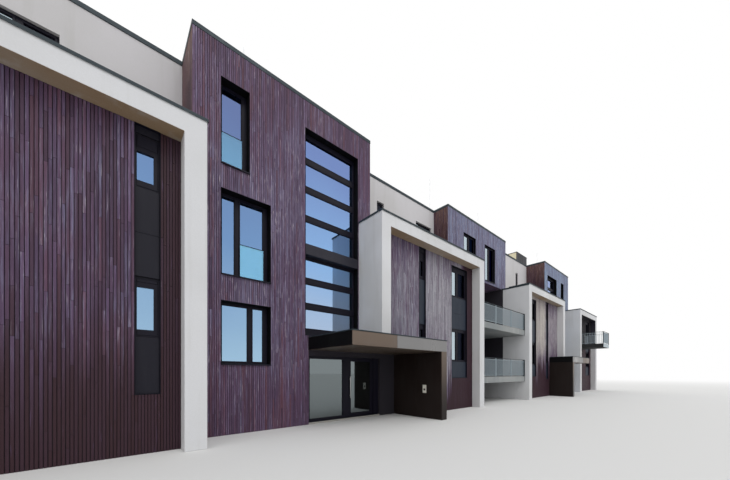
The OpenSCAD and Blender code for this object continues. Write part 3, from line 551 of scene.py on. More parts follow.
def copied(piece, matrix):
    """A copy with its own mesh, moved by a matrix."""
    other = bpy.data.objects.new(piece.name, piece.data.copy())
    other.data.transform(matrix)
    bpy.context.scene.collection.objects.link(other)
    return other


def joined(pieces, name):
    """One piece made of several."""
    alone(*pieces)
    bpy.ops.object.join()
    piece = bpy.context.object
    piece.name = name
    return piece


def smoothed(piece):
    """A round piece, shaded smooth up to its sharp edges."""
    alone(piece)
    bpy.ops.object.shade_smooth_by_angle(angle=math.radians(40))
    return piece


def divided(start, stop, pitch):
    """The places that divide a stretch into even parts of about one pitch."""
    count = round((stop - start) / pitch)
    return [start + (stop - start) * k / count for k in range(1, count)]


def discard(*pieces):
    for piece in pieces:
        bpy.data.objects.remove(piece)


def dressed(piece, finish, slot, body=ROW, stands_for=()):
    """Gives a finished piece its material and body, and hides the CAD nodes it stands for. The slot is not
    used.
    """
    piece.data.materials.clear()
    piece.data.materials.append(FINISHES[finish])
    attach(piece, body)
    if stands_for:
        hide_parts(*stands_for)
    return piece


def finished(parts, name, finish, slot, *stands_for, body=ROW):
    """Joins parts into one dressed piece."""
    return dressed(joined(parts, name), finish, slot, body, stands_for)


def eased_node(node, width, name=None):
    """A copy of a CAD node with its triangles merged into faces and its edges rounded."""
    piece = bpy.data.objects.new(name or node + "_finished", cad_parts[node].data.copy())
    bpy.context.scene.collection.objects.link(piece)
    alone(piece)
    bpy.ops.object.mode_set(mode="EDIT")
    bpy.ops.mesh.select_all(action="SELECT")
    bpy.ops.mesh.remove_doubles(threshold=0.00001)
    bpy.ops.mesh.dissolve_limited(angle_limit=math.radians(0.5))
    bpy.ops.object.mode_set(mode="OBJECT")
    return ease(piece, width)


def painted(finish, *nodes):
    """Gives CAD nodes that stay in view their finish."""
    for node in nodes:
        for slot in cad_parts[node].material_slots:
            slot.material = FINISHES[finish]


def solids(*nodes):
    """The lowest and highest corners of the nodes' separate solids, from left to right in each node."""
    return [box for node in nodes for box in parted(node)]


def parted(node):
    """The lowest and highest corners of one node's solids: triangles that share corners are one solid."""
    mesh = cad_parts[node].data
    points = [tuple(round(c, 5) for c in v.co) for v in mesh.vertices]
    leader = {p: p for p in points}

    def top(p):
        while leader[p] != p:
            leader[p] = leader[leader[p]]
            p = leader[p]
        return p

    for polygon in mesh.polygons:
        first = top(points[polygon.vertices[0]])
        for v in polygon.vertices[1:]:
            leader[top(points[v])] = first
    groups = {}
    for p in leader:
        groups.setdefault(top(p), []).append(p)
    return sorted((around(group) for group in groups.values()), key=lambda b: tuple(b[0]))


def around(points):
    """The lowest and highest corners of some points."""
    return Vector(map(min, *points)), Vector(map(max, *points))


def holes_in(wall, boxes):
    """What stands in a wall, seen from the front: left, foot, right and head of each box."""
    return [(b[0].x, b[0].z, b[1].x, b[1].z) for b in boxes
            if wall[0].x < b[0].x < wall[1].x and wall[0].y < b[1].y < wall[1].y]


def above_trims():
    """The height at which the boards start above the portals' copings."""
    return min(b[1].z for b in solids("copings")) + JOINT


def portal_soffit():
    """The underside of the portals' beams, where the narrow strips end."""
    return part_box("strip_panels")[1].z


# Timber battens

X, Y, Z = Vector((1, 0, 0)), Vector((0, 1, 0)), Vector((0, 0, 1))
# Each face: the direction across its boards, into the wall, and along its boards
FACES = {"front": (X, Y, Z), "left": (-Y, X, Z), "right": (Y, -X, Z), "under": (Y, Z, X)}
# What each board carries for its material. The fading also carries painted sunlight and painted shade in
# places; the tint above 0 is a painted sky reflection, and below 0 the upper side walls' warm tone with
# painted sunlight
BOARD_MARKS = ("tone", "fade", "tan", "cool")


def clear_spans(across, areas, holes):
    """The stretches along a board that the areas cover and the holes leave free."""
    spans = []
    for low, high in sorted((a[1], a[3]) for a in areas if a[0] < across < a[2]):
        if spans and low <= spans[-1][1] + 0.001:
            spans[-1][1] = max(spans[-1][1], high)
        else:
            spans.append([low, high])
    for low, high in [(h[1], h[3]) for h in holes if h[0] < across < h[2]]:
        cut = []
        for a, b in spans:
            cut += [[a, min(b, low)], [max(a, high), b]]
        spans = [s for s in cut if s[1] - s[0] > 0.004]
    return spans


def batten_master(timber):
    """One board, a metre long, with chamfered front edges."""
    width = timber.pitch - timber.gap
    board = block("board", (0, -timber.depth, 0), (width, 0, 1), 0)
    for part in (board.data.vertices, board.data.edges, board.data.polygons):
        for item in part:
            item.select = False
    for edge in board.data.edges:
        ends = [board.data.vertices[i].co for i in edge.vertices]
        edge.select = all(e.y < -timber.depth / 2 for e in ends) and abs(ends[0].z - ends[1].z) > 0.5
    bpy.context.tool_settings.mesh_select_mode = (False, True, False)
    bpy.ops.object.mode_set(mode="EDIT")
    bpy.ops.mesh.bevel(offset=timber.chamfer, segments=1, affect="EDGES")
    bpy.ops.object.mode_set(mode="OBJECT")
    for name in BOARD_MARKS:
        board.data.attributes.new(name, "FLOAT", "POINT")
    return board


def board_lengths(rng, timber, low, high):
    """Fills a stretch with boards of random length, and gives each one's start and length."""
    at, length = low, rng.uniform(timber.shortest * 0.3, timber.longest)
    while at < high - 0.0005:
        if high - at - length < timber.shortest * 0.5:
            length = high - at
        yield at, length
        at += length
        length = rng.uniform(timber.shortest, timber.longest)


def batten_wall(name, face, depth, areas, holes, weather, cool=0.0, finish="timber"):
    """Covers areas of a wall with boards of random length, each with its own tone.

    The weather gives a board's fading and tan from its place across and along the face; the fading also
    carries painted sunlight and painted shade in places.
    """
    timber = bpy.context.scene.row_timber
    rng = random.Random(f"{name}{timber.seed}")
    across, inward, along = FACES[face]
    turn = Matrix((across, inward, along)).transposed().to_4x4()
    board = batten_master(timber)
    upper = [v.co.z > 0.5 for v in board.data.vertices]
    full = timber.pitch - timber.gap
    least, most = min(a[0] for a in areas), max(a[2] for a in areas)
    edges = sorted({round(min(most, max(least, r[i])), 4) for r in [*areas, *holes] for i in (0, 2)})
    lines = []
    for left, right in zip(edges, edges[1:]):
        count = max(1, round((right - left) / timber.pitch))
        step = (right - left) / count
        lines += [(left + k * step, step) for k in range(count)]
    made = []
    for start, step in lines:
        for span in clear_spans(start + step / 2, areas, holes):
            for at, length in board_lengths(rng, timber, *span):
                deep = rng.uniform(0.86, 1.0)
                place = across * (start + timber.gap / 2) + inward * depth + along * at
                shape = Matrix.Diagonal(((step - timber.gap) / full, deep, length - timber.butt, 1))
                piece = copied(board, Matrix.Translation(place) @ turn @ shape)
                ends = [weather(start, at), weather(start, at + length)]
                luck, tone = rng.uniform(-1, 1), rng.random()
                fades = [min(1, max(0, end[0] + luck * (0.04 + 0.18 * end[0]))) for end in ends]
                pairs = (tone, tone), fades, [end[1] for end in ends], (cool, cool)
                for mark, pair in zip(BOARD_MARKS, pairs):
                    piece.data.attributes[mark].data.foreach_set("value", [pair[end] for end in upper])
                made.append(piece)
    discard(board)
    return dressed(joined(made, name), finish, "timber")


def between(value, low, high):
    """0 below low, 1 above high, and smooth between them."""
    t = min(1, max(0, (value - low) / (high - low)))
    return t * t * (3 - 2 * t)


def side_boards(name, front):
    """Warm boards on the two upper sides of a block, with painted sunlight towards its top."""
    foot, white = above_trims(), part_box("upper_white_walls")[0].y
    for face, x, sign in (("left", front[0].x, -1), ("right", front[1].x, 1)):
        near, far = sorted((front[0].y * sign, white * sign))
        # The fading that rises near the top, with the tint at -1, is painted sunlight
        batten_wall(f"{name}_{face}_battens", face, -x * sign, [(near, foot, far, front[1].z)], [],
                    lambda across, along: (0.10 + 0.34 * between(along, 4.5, 5.2), 0.9), -1.0)


# Operators


class Piece:
    """What every operator of the row shares."""

    bl_options = {"REGISTER", "UNDO"}

    def execute(self, context):
        self.build(context.scene)
        return {"FINISHED"}


class ROW_OT_tower_timber(Piece, bpy.types.Operator):
    """Timber battens on the fronts and sides of the two stair towers"""

    bl_idname = "house_row.tower_timber"
    bl_label = "Tower Timber"

    def build(self, scene):
        panes = solids("window_frames", "stair_frames")
        for index, front in enumerate(solids("tower_fronts")):
            name = "tower_" + "ab"[index]
            # Tower b, seen at a more glancing angle, gets more painted sky reflection
            worn, cool = ((0.28, 0.0), (0.72, 0.8))[index]

            def weather(across, along):
                return worn + 0.24 * between(along, 0.6, 1.6) * (1 - between(along, 3.2, 5.0)), 0.0

            areas = self.areas(index, front, scene.row_timber.depth)
            batten_wall(name + "_battens", "front", front[0].y, areas, holes_in(front, panes), weather, cool)
            side_boards(name, front)
        painted("batten_ground", "tower_fronts", "upper_side_walls")

    def areas(self, index, front, depth):
        """The parts of a front above the portals' copings, between the portals and beside the entrance."""
        beside = solids("house_portals")[index], solids("end_portals")[index]
        left, right = sorted(beside, key=lambda b: b[0].x)
        low, high = left[1].x, right[0].x
        canopy = solids("canopies")[index]
        overlap = 0.01
        if index == 0:
            foot = low, canopy[0].x + overlap
        else:
            foot = canopy[1].x - overlap, high
        return [
            (front[0].x - depth, above_trims(), front[1].x + depth, front[1].z),
            (low, canopy[1].z, high, above_trims()),
            (foot[0], 0, foot[1], canopy[1].z),
        ]


class ROW_OT_bay_timber(Piece, bpy.types.Operator):
    """Timber battens inside the white portals"""

    bl_idname = "house_row.bay_timber"
    bl_label = "Bay Timber"

    def build(self, scene):
        self.house_bays()
        self.left_bay()
        self.right_bay()
        painted("batten_ground", "house_timber_walls", "end_timber_walls")

    def cover(self, name, wall, foot, head, weather, cool=0.0, finish="timber", under=()):
        """Boards over a bay's wall from foot to head, and over the areas under its canopy."""
        areas = [(wall[0].x, foot, wall[1].x, head), *under]
        holes = holes_in(wall, solids("window_frames", "strip_panels"))
        batten_wall(name, "front", wall[0].y, areas, holes, weather, cool, finish)

    def house_bays(self):
        """Boards worn by the weather, most of all away from the recess and above the foot, and darker near
        the top as painted shade under the portal beams.
        """
        for index, wall in enumerate(solids("house_timber_walls")):
            canopy = solids("canopies")[index]
            if index == 0:
                edge, start, stop = wall[1].x, canopy[1].x, wall[1].x
            else:
                edge, start, stop = wall[0].x, wall[0].x, canopy[0].x
            most, tans, foot = ((0.9, (0.45, 0.36), (0.75, 1.2)), (1.0, (0.9, 0.62), (1.3, 1.6)))[index]

            def weather(across, along):
                away = abs(across - edge)
                open_air = between(away, 0.30, 0.62) * between(along, *foot)
                outer = between(away, 1.6, 2.1)
                # Painted shade, not shelter: the boards darken near the top, under the portal beams
                sheltered = 1 - 0.3 * between(along, 2.8, 3.4)
                worn = most * open_air * sheltered * (1 - 0.36 * outer)
                return worn, tans[0] + (tans[1] - tans[0]) * outer

            self.cover(f"bay_{'ab'[index]}_battens", wall, canopy[1].z, portal_soffit(), weather, 0.4,
                       under=[(start, 0, stop, canopy[1].z)])

    def left_bay(self):
        """Darker boards, a little more worn to the left of the narrow strip."""
        wall = solids("end_timber_walls")[0]
        slim = max(hole[0] for hole in holes_in(wall, solids("window_frames", "strip_panels")))

        def weather(across, along):
            return (0.22 if across < slim else 0.06) * between(along, 0.3, 1.6), 0.0

        self.cover("left_bay_battens", wall, 0, portal_soffit(), weather, 0.2)

    def right_bay(self):
        """Bleached boards left of the strip, and boards above the balcony made near-black as painted shade.
        """
        wall = solids("end_timber_walls")[1]
        strip = min(hole[0] for hole in holes_in(wall, solids("window_frames", "strip_panels")))
        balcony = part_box("end_balcony")[0].z
        self.cover("right_bay_battens", wall, 0, balcony,
                   lambda across, along: (0.9, 1.0) if across < strip else (0.0, 0.3))
        # Painted shade: the boards above the balcony are near-black
        self.cover("balcony_battens", wall, balcony, portal_soffit(), lambda across, along: (0.0, 0.0),
                   finish="shaded_timber")


class ROW_OT_block_timber(Piece, bpy.types.Operator):
    """Timber battens on the front, sides and underside of the centre block"""

    bl_idname = "house_row.block_timber"
    bl_label = "Centre Block Timber"

    def build(self, scene):
        front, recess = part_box("centre_block_front"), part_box("recess_back_wall")
        left, right = solids("house_portals")
        depth, top = scene.row_timber.depth, above_trims()
        areas = [(front[0].x - depth, top, front[1].x + depth, front[1].z),
                 (left[1].x + JOINT, front[0].z - depth, right[0].x - JOINT, top)]
        batten_wall("block_battens", "front", front[0].y, areas, holes_in(front, solids("window_frames")),
                    lambda across, along: (0.66 + 0.1 * between(along, 3.8, 4.6), 0.0), 0.4)
        side_boards("block", front)
        batten_wall("block_soffit_battens", "under", front[0].z,
                    [(front[0].y, recess[0].x, recess[0].y, recess[1].x)], [],
                    lambda across, along: (0.4, 0.0))
        painted("batten_ground", "centre_block_front", "centre_block_floor")


def window_lights(box, panes):
    """A window's glass areas from left to right, measured from the window's lower left corner."""
    low, high = box
    near = 0.01
    return sorted((p[0].x - low.x, p[0].z - low.z, p[1].x - low.x, p[1].z - low.z) for p in panes
                  if low.x < p[0].x < high.x and low.z < p[0].z < high.z
                  and low.y - near < p[0].y < high.y + near)


def window_master(joinery, extent, lights):
    """A window's outer frame, mullions, sashes, beads and shutter box, from its lower left front corner."""
    width, depth, height = extent
    rail, stile, proud = joinery.frame_rail, joinery.stile, joinery.proud
    side = rail + JOINT
    tallest_head = 0.045
    foot = lights[0][1] - side
    head = height - lights[0][3] - side
    shutter = max(0, head - tallest_head)
    head -= shutter
    parts = [ring("window", (0, 0, 0), (width, depth, height), rail)]
    for k, (x0, z0, x1, z1) in enumerate(lights):
        left = x0 - side if k == 0 else stile
        right = width - x1 - side if k == len(lights) - 1 else stile
        parts.append(ring("sash", (x0 - left, -proud, z0 - foot), (x1 + right, depth - 0.006, z1 + head),
                          (left, right, foot, head)))
        parts.append(ring("bead", (x0 - JOINT, 0.005, z0 - JOINT), (x1 + JOINT, 0.013, z1 + JOINT),
                          joinery.bead))
    if shutter:
        top, gap = height - side, 0.002
        parts.append(block("shutter_box", (side, -proud - gap, top - shutter + gap),
                           (width - side, depth - gap, top), SOFT))
    for left, right in zip(lights, lights[1:]):
        parts.append(block("mullion", (left[2] + stile + JOINT, JOINT, rail),
                           (right[0] - stile - JOINT, depth - JOINT, height - rail)))
    return joined(parts, "window")


class ROW_OT_windows(Piece, bpy.types.Operator):
    """Window frames with sashes and beads, on the front and the back"""

    bl_idname = "house_row.windows"
    bl_label = "Windows"

    def build(self, scene):
        panes = solids("ground_glass", "first_glass", "second_glass")
        masters = {}
        for node in ("window_frames", "back_window_frames"):
            made = []
            for low, high in solids(node):
                lights = window_lights((low, high), panes)
                key = tuple(round(c, 3) for c in (*(high - low), *(v for light in lights for v in light)))
                if key not in masters:
                    masters[key] = window_master(scene.row_joinery, high - low, lights)
                place = Matrix.Translation(low)
                if node == "back_window_frames":
                    place = Matrix.Translation((high.x, high.y, low.z)) @ HALF_TURN
                made.append(copied(masters[key], place))
            finished(made, node + "_finished", "joinery", "window_frame", node)
        discard(*masters.values())
        self.panes()

    def panes(self):
        """Every window pane: blue on the towers, in the left bay and at the back, and dark elsewhere.

        The first sash of a wide window mirrors the pale horizon.
        """
        towers, portal_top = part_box("tower_fronts"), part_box("house_portals")[1].z
        widest_single, first_sash = 0.45, 0.1
        wide = [b for b in solids("window_frames") if b[1].x - b[0].x > widest_single]
        for node in ("ground_glass", "first_glass", "second_glass"):
            kinds = {"glass": [], "pale_glass": [], "dark_glass": []}
            for low, high in solids(node):
                left_bay = low.x < towers[0].x and low.z < portal_top
                if low.y > 0 or towers[0].y < low.y < towers[1].y or left_bay:
                    finish = "glass"
                elif any(0 < low.x - b[0].x < first_sash and b[0].z < low.z for b in wide):
                    finish = "pale_glass"
                else:
                    finish = "dark_glass"
                kinds[finish].append(block("pane", low, high, 0))
            for finish, panes in kinds.items():
                if panes:
                    finished(panes, f"{node}_{finish}", finish, "glass", node)


class ROW_OT_openings(Piece, bpy.types.Operator):
    """Sheet linings of the openings in timber walls, and window sills"""

    bl_idname = "house_row.openings"
    bl_label = "Linings and Sills"

    def build(self, scene):
        joinery = scene.row_joinery
        proud = scene.row_timber.depth + TRIM_PROUD
        walls = ("tower_fronts", "centre_block_front", "house_timber_walls", "upper_white_walls",
                 "recess_back_wall")
        faces = {name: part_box(name)[0].y for name in walls}
        deep, sills = [], []
        for low, high in solids("window_frames", "stair_frames"):
            low = Vector((low.x, high.y - FRAME_DEPTH, low.z))
            wall = max((name for name in faces if faces[name] <= low.y), key=faces.get)
            face = faces[wall]
            if wall in ("tower_fronts", "centre_block_front"):
                face -= proud
                # The deep openings' linings are near-black as painted shade
                deep.append(ring("lining", (low.x, face, low.z), (high.x, low.y, high.z), joinery.lining, 0))
            if wall not in ("house_timber_walls", "recess_back_wall"):
                sills.append(self.sill(joinery, (low, high), face))
        sills += self.back_sills(joinery)
        finished(deep, "opening_linings", "shade", "window_frame")
        finished(self.strip_linings(joinery, proud), "strip_linings", "joinery", "window_frame")
        finished(sills, "window_sills", "joinery", "window_frame")

    def strip_linings(self, joinery, proud):
        """A frame of sheet round each column of windows and panels."""
        linings = []
        for wall in solids("house_timber_walls", "end_timber_walls"):
            holes = holes_in(wall, solids("window_frames", "strip_panels"))
            for left in sorted({round(hole[0], 3) for hole in holes}):
                column = [hole for hole in holes if abs(hole[0] - left) < 0.002]
                x0, z0 = (min(hole[i] for hole in column) for i in (0, 1))
                x1, z1 = (max(hole[i] for hole in column) for i in (2, 3))
                linings.append(ring("lining", (x0, wall[0].y - proud, z0), (x1, wall[0].y + 0.02, z1),
                                    joinery.lining * 0.8, 0))
        return linings

    def back_sills(self, joinery):
        """The sills at the back, made as front ones and turned round, no further out than the coping."""
        back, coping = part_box("back_wall")[1].y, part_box("copings")[1].y
        sills = []
        for corners in solids("back_window_frames"):
            flipped = around([HALF_TURN @ corner for corner in corners])
            sills.append(self.sill(joinery, flipped, -back, coping - back))
            sills[-1].data.transform(HALF_TURN)
        return sills

    def sill(self, joinery, box, face, reach=1.0):
        """A folded sheet that slopes outwards and turns down at its front."""
        low, high = box
        lip, slope = 0.014, 0.006
        plate = block("sill", (low.x, face - min(reach, joinery.sill_out), low.z - lip),
                      (high.x, low.y + 0.004, low.z + 0.010), 0)
        for v in plate.data.vertices:
            if v.co.y < face - 0.001 and v.co.z > low.z:
                v.co.z -= slope
            elif v.co.y > face and v.co.z < low.z:
                v.co.z = low.z + 0.002
        return ease(plate, 0.0015, 1)


class ROW_OT_stair_glazing(Piece, bpy.types.Operator):
    """Frames, transoms and bands of the tall stair windows"""

    bl_idname = "house_row.stair_glazing"
    bl_label = "Stair Glazing"

    def build(self, scene):
        joinery, depth = scene.row_joinery, scene.row_timber.depth
        rail, proud = joinery.frame_rail, 0.003
        thinnest, tall, half_band = 0.012, 0.15, 0.086
        parts, bands = [], []
        for foot, high in solids("stair_frames"):
            low = Vector((foot.x, high.y - FRAME_DEPTH, foot.z))
            panes = [b for b in solids("tower_glass")
                     if low.x < b[0].x < high.x and b[0].z > low.z and b[0].y > low.y]
            panes.sort(key=lambda b: b[0].z)
            parts.append(ring("frame", low, high, rail))
            side = panes[0][0].x - low.x - rail - JOINT
            for a, b in panes:
                parts.append(ring("casement", (a.x - side, low.y - proud, a.z - side),
                                  (b.x + side, high.y - 0.004, b.z + side), side))
                parts.append(ring("bead", (a.x - JOINT, low.y + 0.004, a.z - JOINT),
                                  (b.x + JOINT, low.y + 0.012, b.z + JOINT), joinery.bead))
            levels = [low.z + rail, *(z for a, b in panes for z in (a.z - side, b.z + side)), high.z - rail]
            for z0, z1 in zip(levels[::2], levels[1::2]):
                if z1 - z0 > thinnest:
                    parts.append(block("transom", (low.x + rail, low.y - proud, z0 + JOINT),
                                       (high.x - rail, high.y - 0.002, z1 - JOINT), SOFT))
                if z1 - z0 > tall:
                    middle = (z0 + z1) / 2
                    bands.append(block("band", (low.x + 0.006, foot.y - depth - JOINT, middle - half_band),
                                       (high.x - 0.006, low.y + 0.004, middle + half_band), ROUND, 2))
        finished(parts, "stair_frames_finished", "joinery", "window_frame", "stair_frames")
        finished(bands, "stair_bands", "band", "window_frame")
        self.panes()

    def panes(self):
        """The stair panes and sidelights, and the glass guards with their side clamps and top edge."""
        panes, sidelights, guards, clamps = [], [], [], []
        canopy_top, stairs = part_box("canopies")[1].z, solids("stair_frames")
        for low, high in solids("tower_glass"):
            if low.z < canopy_top:
                sidelights.append(block("pane", low, high, 0))
            elif any(a.x < low.x < b.x for a, b in stairs):
                panes.append(block("pane", low, high, 0))
            else:
                guards.append(block("pane", low, high, SOFT))
                for x in (low.x - 0.004, high.x - 0.006):
                    clamps.append(block("clamp", (x, low.y - 0.002, low.z),
                                        (x + 0.010, high.y, high.z - 0.010), CRISP))
                clamps.append(block("edge", (low.x, low.y - 0.002, high.z - 0.008),
                                    (high.x, high.y + 0.002, high.z + 0.002), CRISP))
        finished(panes, "stair_panes", "stair_glass", "glass", "tower_glass")
        finished(sidelights, "sidelight_panes", "entrance_glass", "glass", "tower_glass")
        finished(guards, "window_guards", "guard", "glass", "tower_glass")
        finished(clamps, "guard_clamps", "joinery", "window_frame")


class ROW_OT_strip_panels(Piece, bpy.types.Operator):
    """Dark panels between, above and below the windows of the strips"""

    bl_idname = "house_row.strip_panels"
    bl_label = "Strip Panels"

    def build(self, scene):
        panels, darker = [], []
        towers_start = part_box("tower_fronts")[0].x
        windows = solids("window_frames")
        gap, half_cover, tallest_sheet = Vector((0.005, 0, 0.004)), Vector((0, 0.004, 0.006)), 0.7
        for low, high in solids("strip_panels"):
            # The topmost panel, under the beam, is darker as painted shade
            topmost = not any(abs(b[0].x - low.x) < 0.002 and b[0].z > low.z for b in windows)
            kept = darker if topmost or high.x < towers_start else panels
            kept.append(block("panel", low + gap, high - gap, SOFT, 2))
            if high.z - low.z > tallest_sheet:
                cut = (low.z + high.z) / 2
                kept.append(block("cover", Vector((low.x + gap.x, low.y, cut)) - half_cover,
                                  Vector((high.x - gap.x, low.y, cut)) + half_cover, CRISP))
        finished(panels, "strip_panels_finished", "panel", "panel", "strip_panels")
        finished(darker, "dark_strip_panels", "left_panel", "panel")


class ROW_OT_entrances(Piece, bpy.types.Operator):
    """Entrance screens, sidelight and door beads, doors, pulls and hinges"""

    bl_idname = "house_row.entrances"
    bl_label = "Entrances"

    def build(self, scene):
        joinery = scene.row_joinery
        parts = [eased_node("entrance_screens", ROUND)]
        canopy_foot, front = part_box("canopies")[0].z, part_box("tower_fronts")[0].y
        for low, high in solids("tower_glass"):
            if low.z < canopy_foot:
                parts.append(self.bead(joinery, low, high, 0.012))
        for floor in solids("lobby_floors"):
            screen = [s for s in solids("entrance_screens") if floor[0].x < s[0].x < floor[1].x]
            left, right = min(s[0].x for s in screen), max(s[1].x for s in screen)
            parts.append(block("threshold", (left, front - 0.004, floor[1].z),
                               (right, front + 0.06, floor[1].z + 0.006), SOFT))
        finished(parts, "entrance_screens_finished", "joinery", "window_frame", "entrance_screens")
        for letter in "ab":
            self.door(joinery, letter)
        painted("steel", "door_hinges")
        painted("dark_wall", "entrance_piers", "entrance_lintels")
        painted("concrete", "lobby_floors")
        painted("white", "lobby_walls")

    def door(self, joinery, letter):
        """A door leaf with its beads and kick plate, and its pull."""
        body, name = f"entrance_door_{letter}", f"entrance_door_leaf_{letter}"
        low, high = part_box(f"door_leaf_{letter}")
        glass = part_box(f"door_glass_{letter}")
        kick = block("kick", (glass[0].x, low.y - 0.002, low.z + 0.008),
                     (glass[1].x, low.y + 0.004, low.z + 0.05), CRISP)
        leaf = eased_node(f"door_leaf_{letter}", 0.0015, name)
        finished([kick, self.bead(joinery, *glass, 0.006), leaf], name, "joinery", "window_frame",
                 f"door_leaf_{letter}", body=body)
        pull = smoothed(eased_node(f"door_pull_{letter}", SOFT, f"entrance_pull_{letter}"))
        dressed(pull, "steel", "steel", body, [f"door_pull_{letter}"])
        painted("entrance_glass", f"door_glass_{letter}")

    def bead(self, joinery, low, high, reach):
        return ring("bead", (low.x - 0.002, low.y - reach, low.z - 0.002),
                    (high.x + 0.002, low.y - 0.001, high.z + 0.002), joinery.bead + 0.004)


class ROW_OT_canopies(Piece, bpy.types.Operator):
    """Sheet-clad entrance canopies, their walls and blank call plates"""

    bl_idname = "house_row.canopies"
    bl_label = "Canopies"

    def build(self, scene):
        pieces = {
            "canopies_finished": ("canopy", "canopy_metal", "canopies"),
            "canopy_walls_finished": ("lining", "canopy_lining", "canopy_walls"),
            "canopy_shaded_returns": ("shade", "canopy_metal"),
            "canopy_flashings": ("coping", "coping"),
            "canopy_sheen_fascias": ("canopy_grey", "canopy_metal"),
            "call_plates_finished": ("plate", "steel", "call_plates"),
            "call_plate_fields": ("lining", "steel"),
        }
        parts = {name: [] for name in pieces}
        metal, walls, shaded_returns, flashings, grey, plates, fields = parts.values()
        sheet, joint, lip, drip, rim = 0.005, 0.004, 0.008, 0.012, 0.02
        for (low, high), wall in zip(solids("canopies"), solids("canopy_walls")):
            share = scene.row_metal.canopy_seam
            outer_first = wall[0].x > (low.x + high.x) / 2
            seam = low.x + (high.x - low.x) * (share if outer_first else 1 - share)
            metal.append(block("core", low + Vector((sheet, sheet, sheet)),
                               high - Vector((sheet, 0, sheet)), SOFT))
            for x0, x1 in ((low.x, seam - joint / 2), (seam + joint / 2, high.x)):
                # Beyond the joint the fascia is grey as a painted sheen
                kept = grey if (x0 > seam) == outer_first else metal
                kept.append(block("fascia", (x0, low.y, low.z), (x1, low.y + 2 * sheet, high.z - drip)))
            # The near-black returns are painted shade on the canopy's sides
            for x0 in (low.x, high.x - 2 * sheet):
                shaded_returns.append(block("return", (x0, low.y + 2 * sheet + JOINT, low.z),
                                     (x0 + 2 * sheet, high.y, high.z - drip)))
            flashings.append(block("flashing", (low.x - lip, low.y - lip, high.z - 0.010),
                                   (high.x + lip, high.y, high.z + 0.004), SOFT, 2))
            for x0, x1 in ((low.x + rim, seam - 0.003), (seam + 0.003, high.x - rim)):
                metal.append(block("soffit", (x0, low.y + rim, low.z - 0.004), (x1, high.y, low.z + 0.01)))
            self.wall(*wall, sheet, metal, walls)
        for low, high in solids("call_plates"):
            plates.append(block("plate", low, high, 0.0015, 2))
            width, height = high.y - low.y, high.z - low.z
            fields.append(block("field", (low.x - 0.0015, low.y + width * 0.25, low.z + height * 0.3),
                                (high.x + 0.0015, high.y - width * 0.25, low.z + height * 0.55), CRISP))
        for name, looks in pieces.items():
            finished(parts[name], name, *looks)

    def wall(self, low, high, sheet, metal, walls):
        """The wall that carries a canopy: a metal front edge and two dark sheets on each side, made
        near-black as painted shade under the canopy.
        """
        middle, gap = (low.y + high.y) / 2, 0.002
        metal.append(block("leg_front", (low.x, low.y - 0.0005, 0),
                           (high.x, low.y + 2 * sheet, high.z), SOFT))
        walls.append(block("wall", (low.x, low.y + 2 * sheet + gap, 0),
                           (high.x, high.y, high.z - JOINT), SOFT))
        for x in (low.x - 0.002, high.x - 0.003):
            for y0, y1 in ((low.y + 0.015, middle - gap), (middle + gap, high.y)):
                walls.append(block("sheet", (x, y0, 0.012), (x + sheet, y1, high.z - 0.006), CRISP))


class ROW_OT_railings(Piece, bpy.types.Operator):
    """Flat-bar railings of the balconies"""

    bl_idname = "house_row.railings"
    bl_label = "Railings"

    def build(self, scene):
        light, dark = [], []
        for low, high in solids("railings"):
            self.run(scene.row_metal, low, high, light, dark)
        finished(light, "railing_bars", "railing", "railing_metal", "railings")
        finished(dark, "railing_posts", "handrail", "railing_metal")

    def run(self, metal, low, high, light, dark):
        """One straight run: posts, a handrail, two rails and bars."""
        balcony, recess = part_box("end_balcony"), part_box("recess_back_wall")
        in_recess = recess[0].x - 0.01 < low.x < recess[1].x
        along = 0 if high.x - low.x > high.y - low.y else 1
        middle = (low + high) / 2
        half_rail, half_post, half_bar, bay = 0.016, 0.006, metal.bar_depth / 2, 0.95
        # The handrail stays over the end balcony
        if along:
            middle.x = min(max(middle.x, balcony[0].x + half_rail), balcony[1].x - half_rail)
        else:
            middle.y = max(middle.y, balcony[0].y + half_rail)

        def span(near, far, across, foot, head):
            """The corners of a part from near to far along the run, and as far across on both sides."""
            start, end = middle.copy(), middle.copy()
            start[along], end[along] = low[along] + near, low[along] + far
            start[1 - along] -= across
            end[1 - along] += across
            start.z, end.z = foot, head
            return start, end

        length = high[along] - low[along]
        bays = max(1, round(length / bay))
        posts = [length * k / bays for k in range(bays + 1)]
        ends = (half_post, length - half_post)
        for post in posts:
            at = min(max(post, ends[0]), ends[1])
            if in_recess and at in ends:
                foot = max(s[0].z for s in solids("balcony_slabs") if s[0].z < low.z)
                corners = span(at - half_post, at + half_post, 0.030, foot, high.z)
                dark.append(block("end_plate", *corners, CRISP))
            else:
                corners = span(at - half_post, at + half_post, 0.014, low.z, high.z - 0.01)
                kept = light if in_recess else dark
                kept.append(block("post", *corners, CRISP))
        dark.append(block("handrail", *span(0, length, half_rail, high.z - 0.010, high.z), SOFT, 2))
        for a, b in zip(posts, posts[1:]):
            for z in (low.z + 0.040, high.z - 0.050):
                light.append(block("rail", *span(a + 0.012, b - 0.012, half_bar * 0.7, z, z + 0.008), CRISP))
            count = max(2, round((b - a) / metal.bar_pitch))
            half = metal.bar_width / 2
            for k in range(1, count):
                at = a + (b - a) * k / count
                corners = span(at - half, at + half, half_bar, low.z + 0.030, high.z - 0.035)
                light.append(block("bar", *corners, 0))


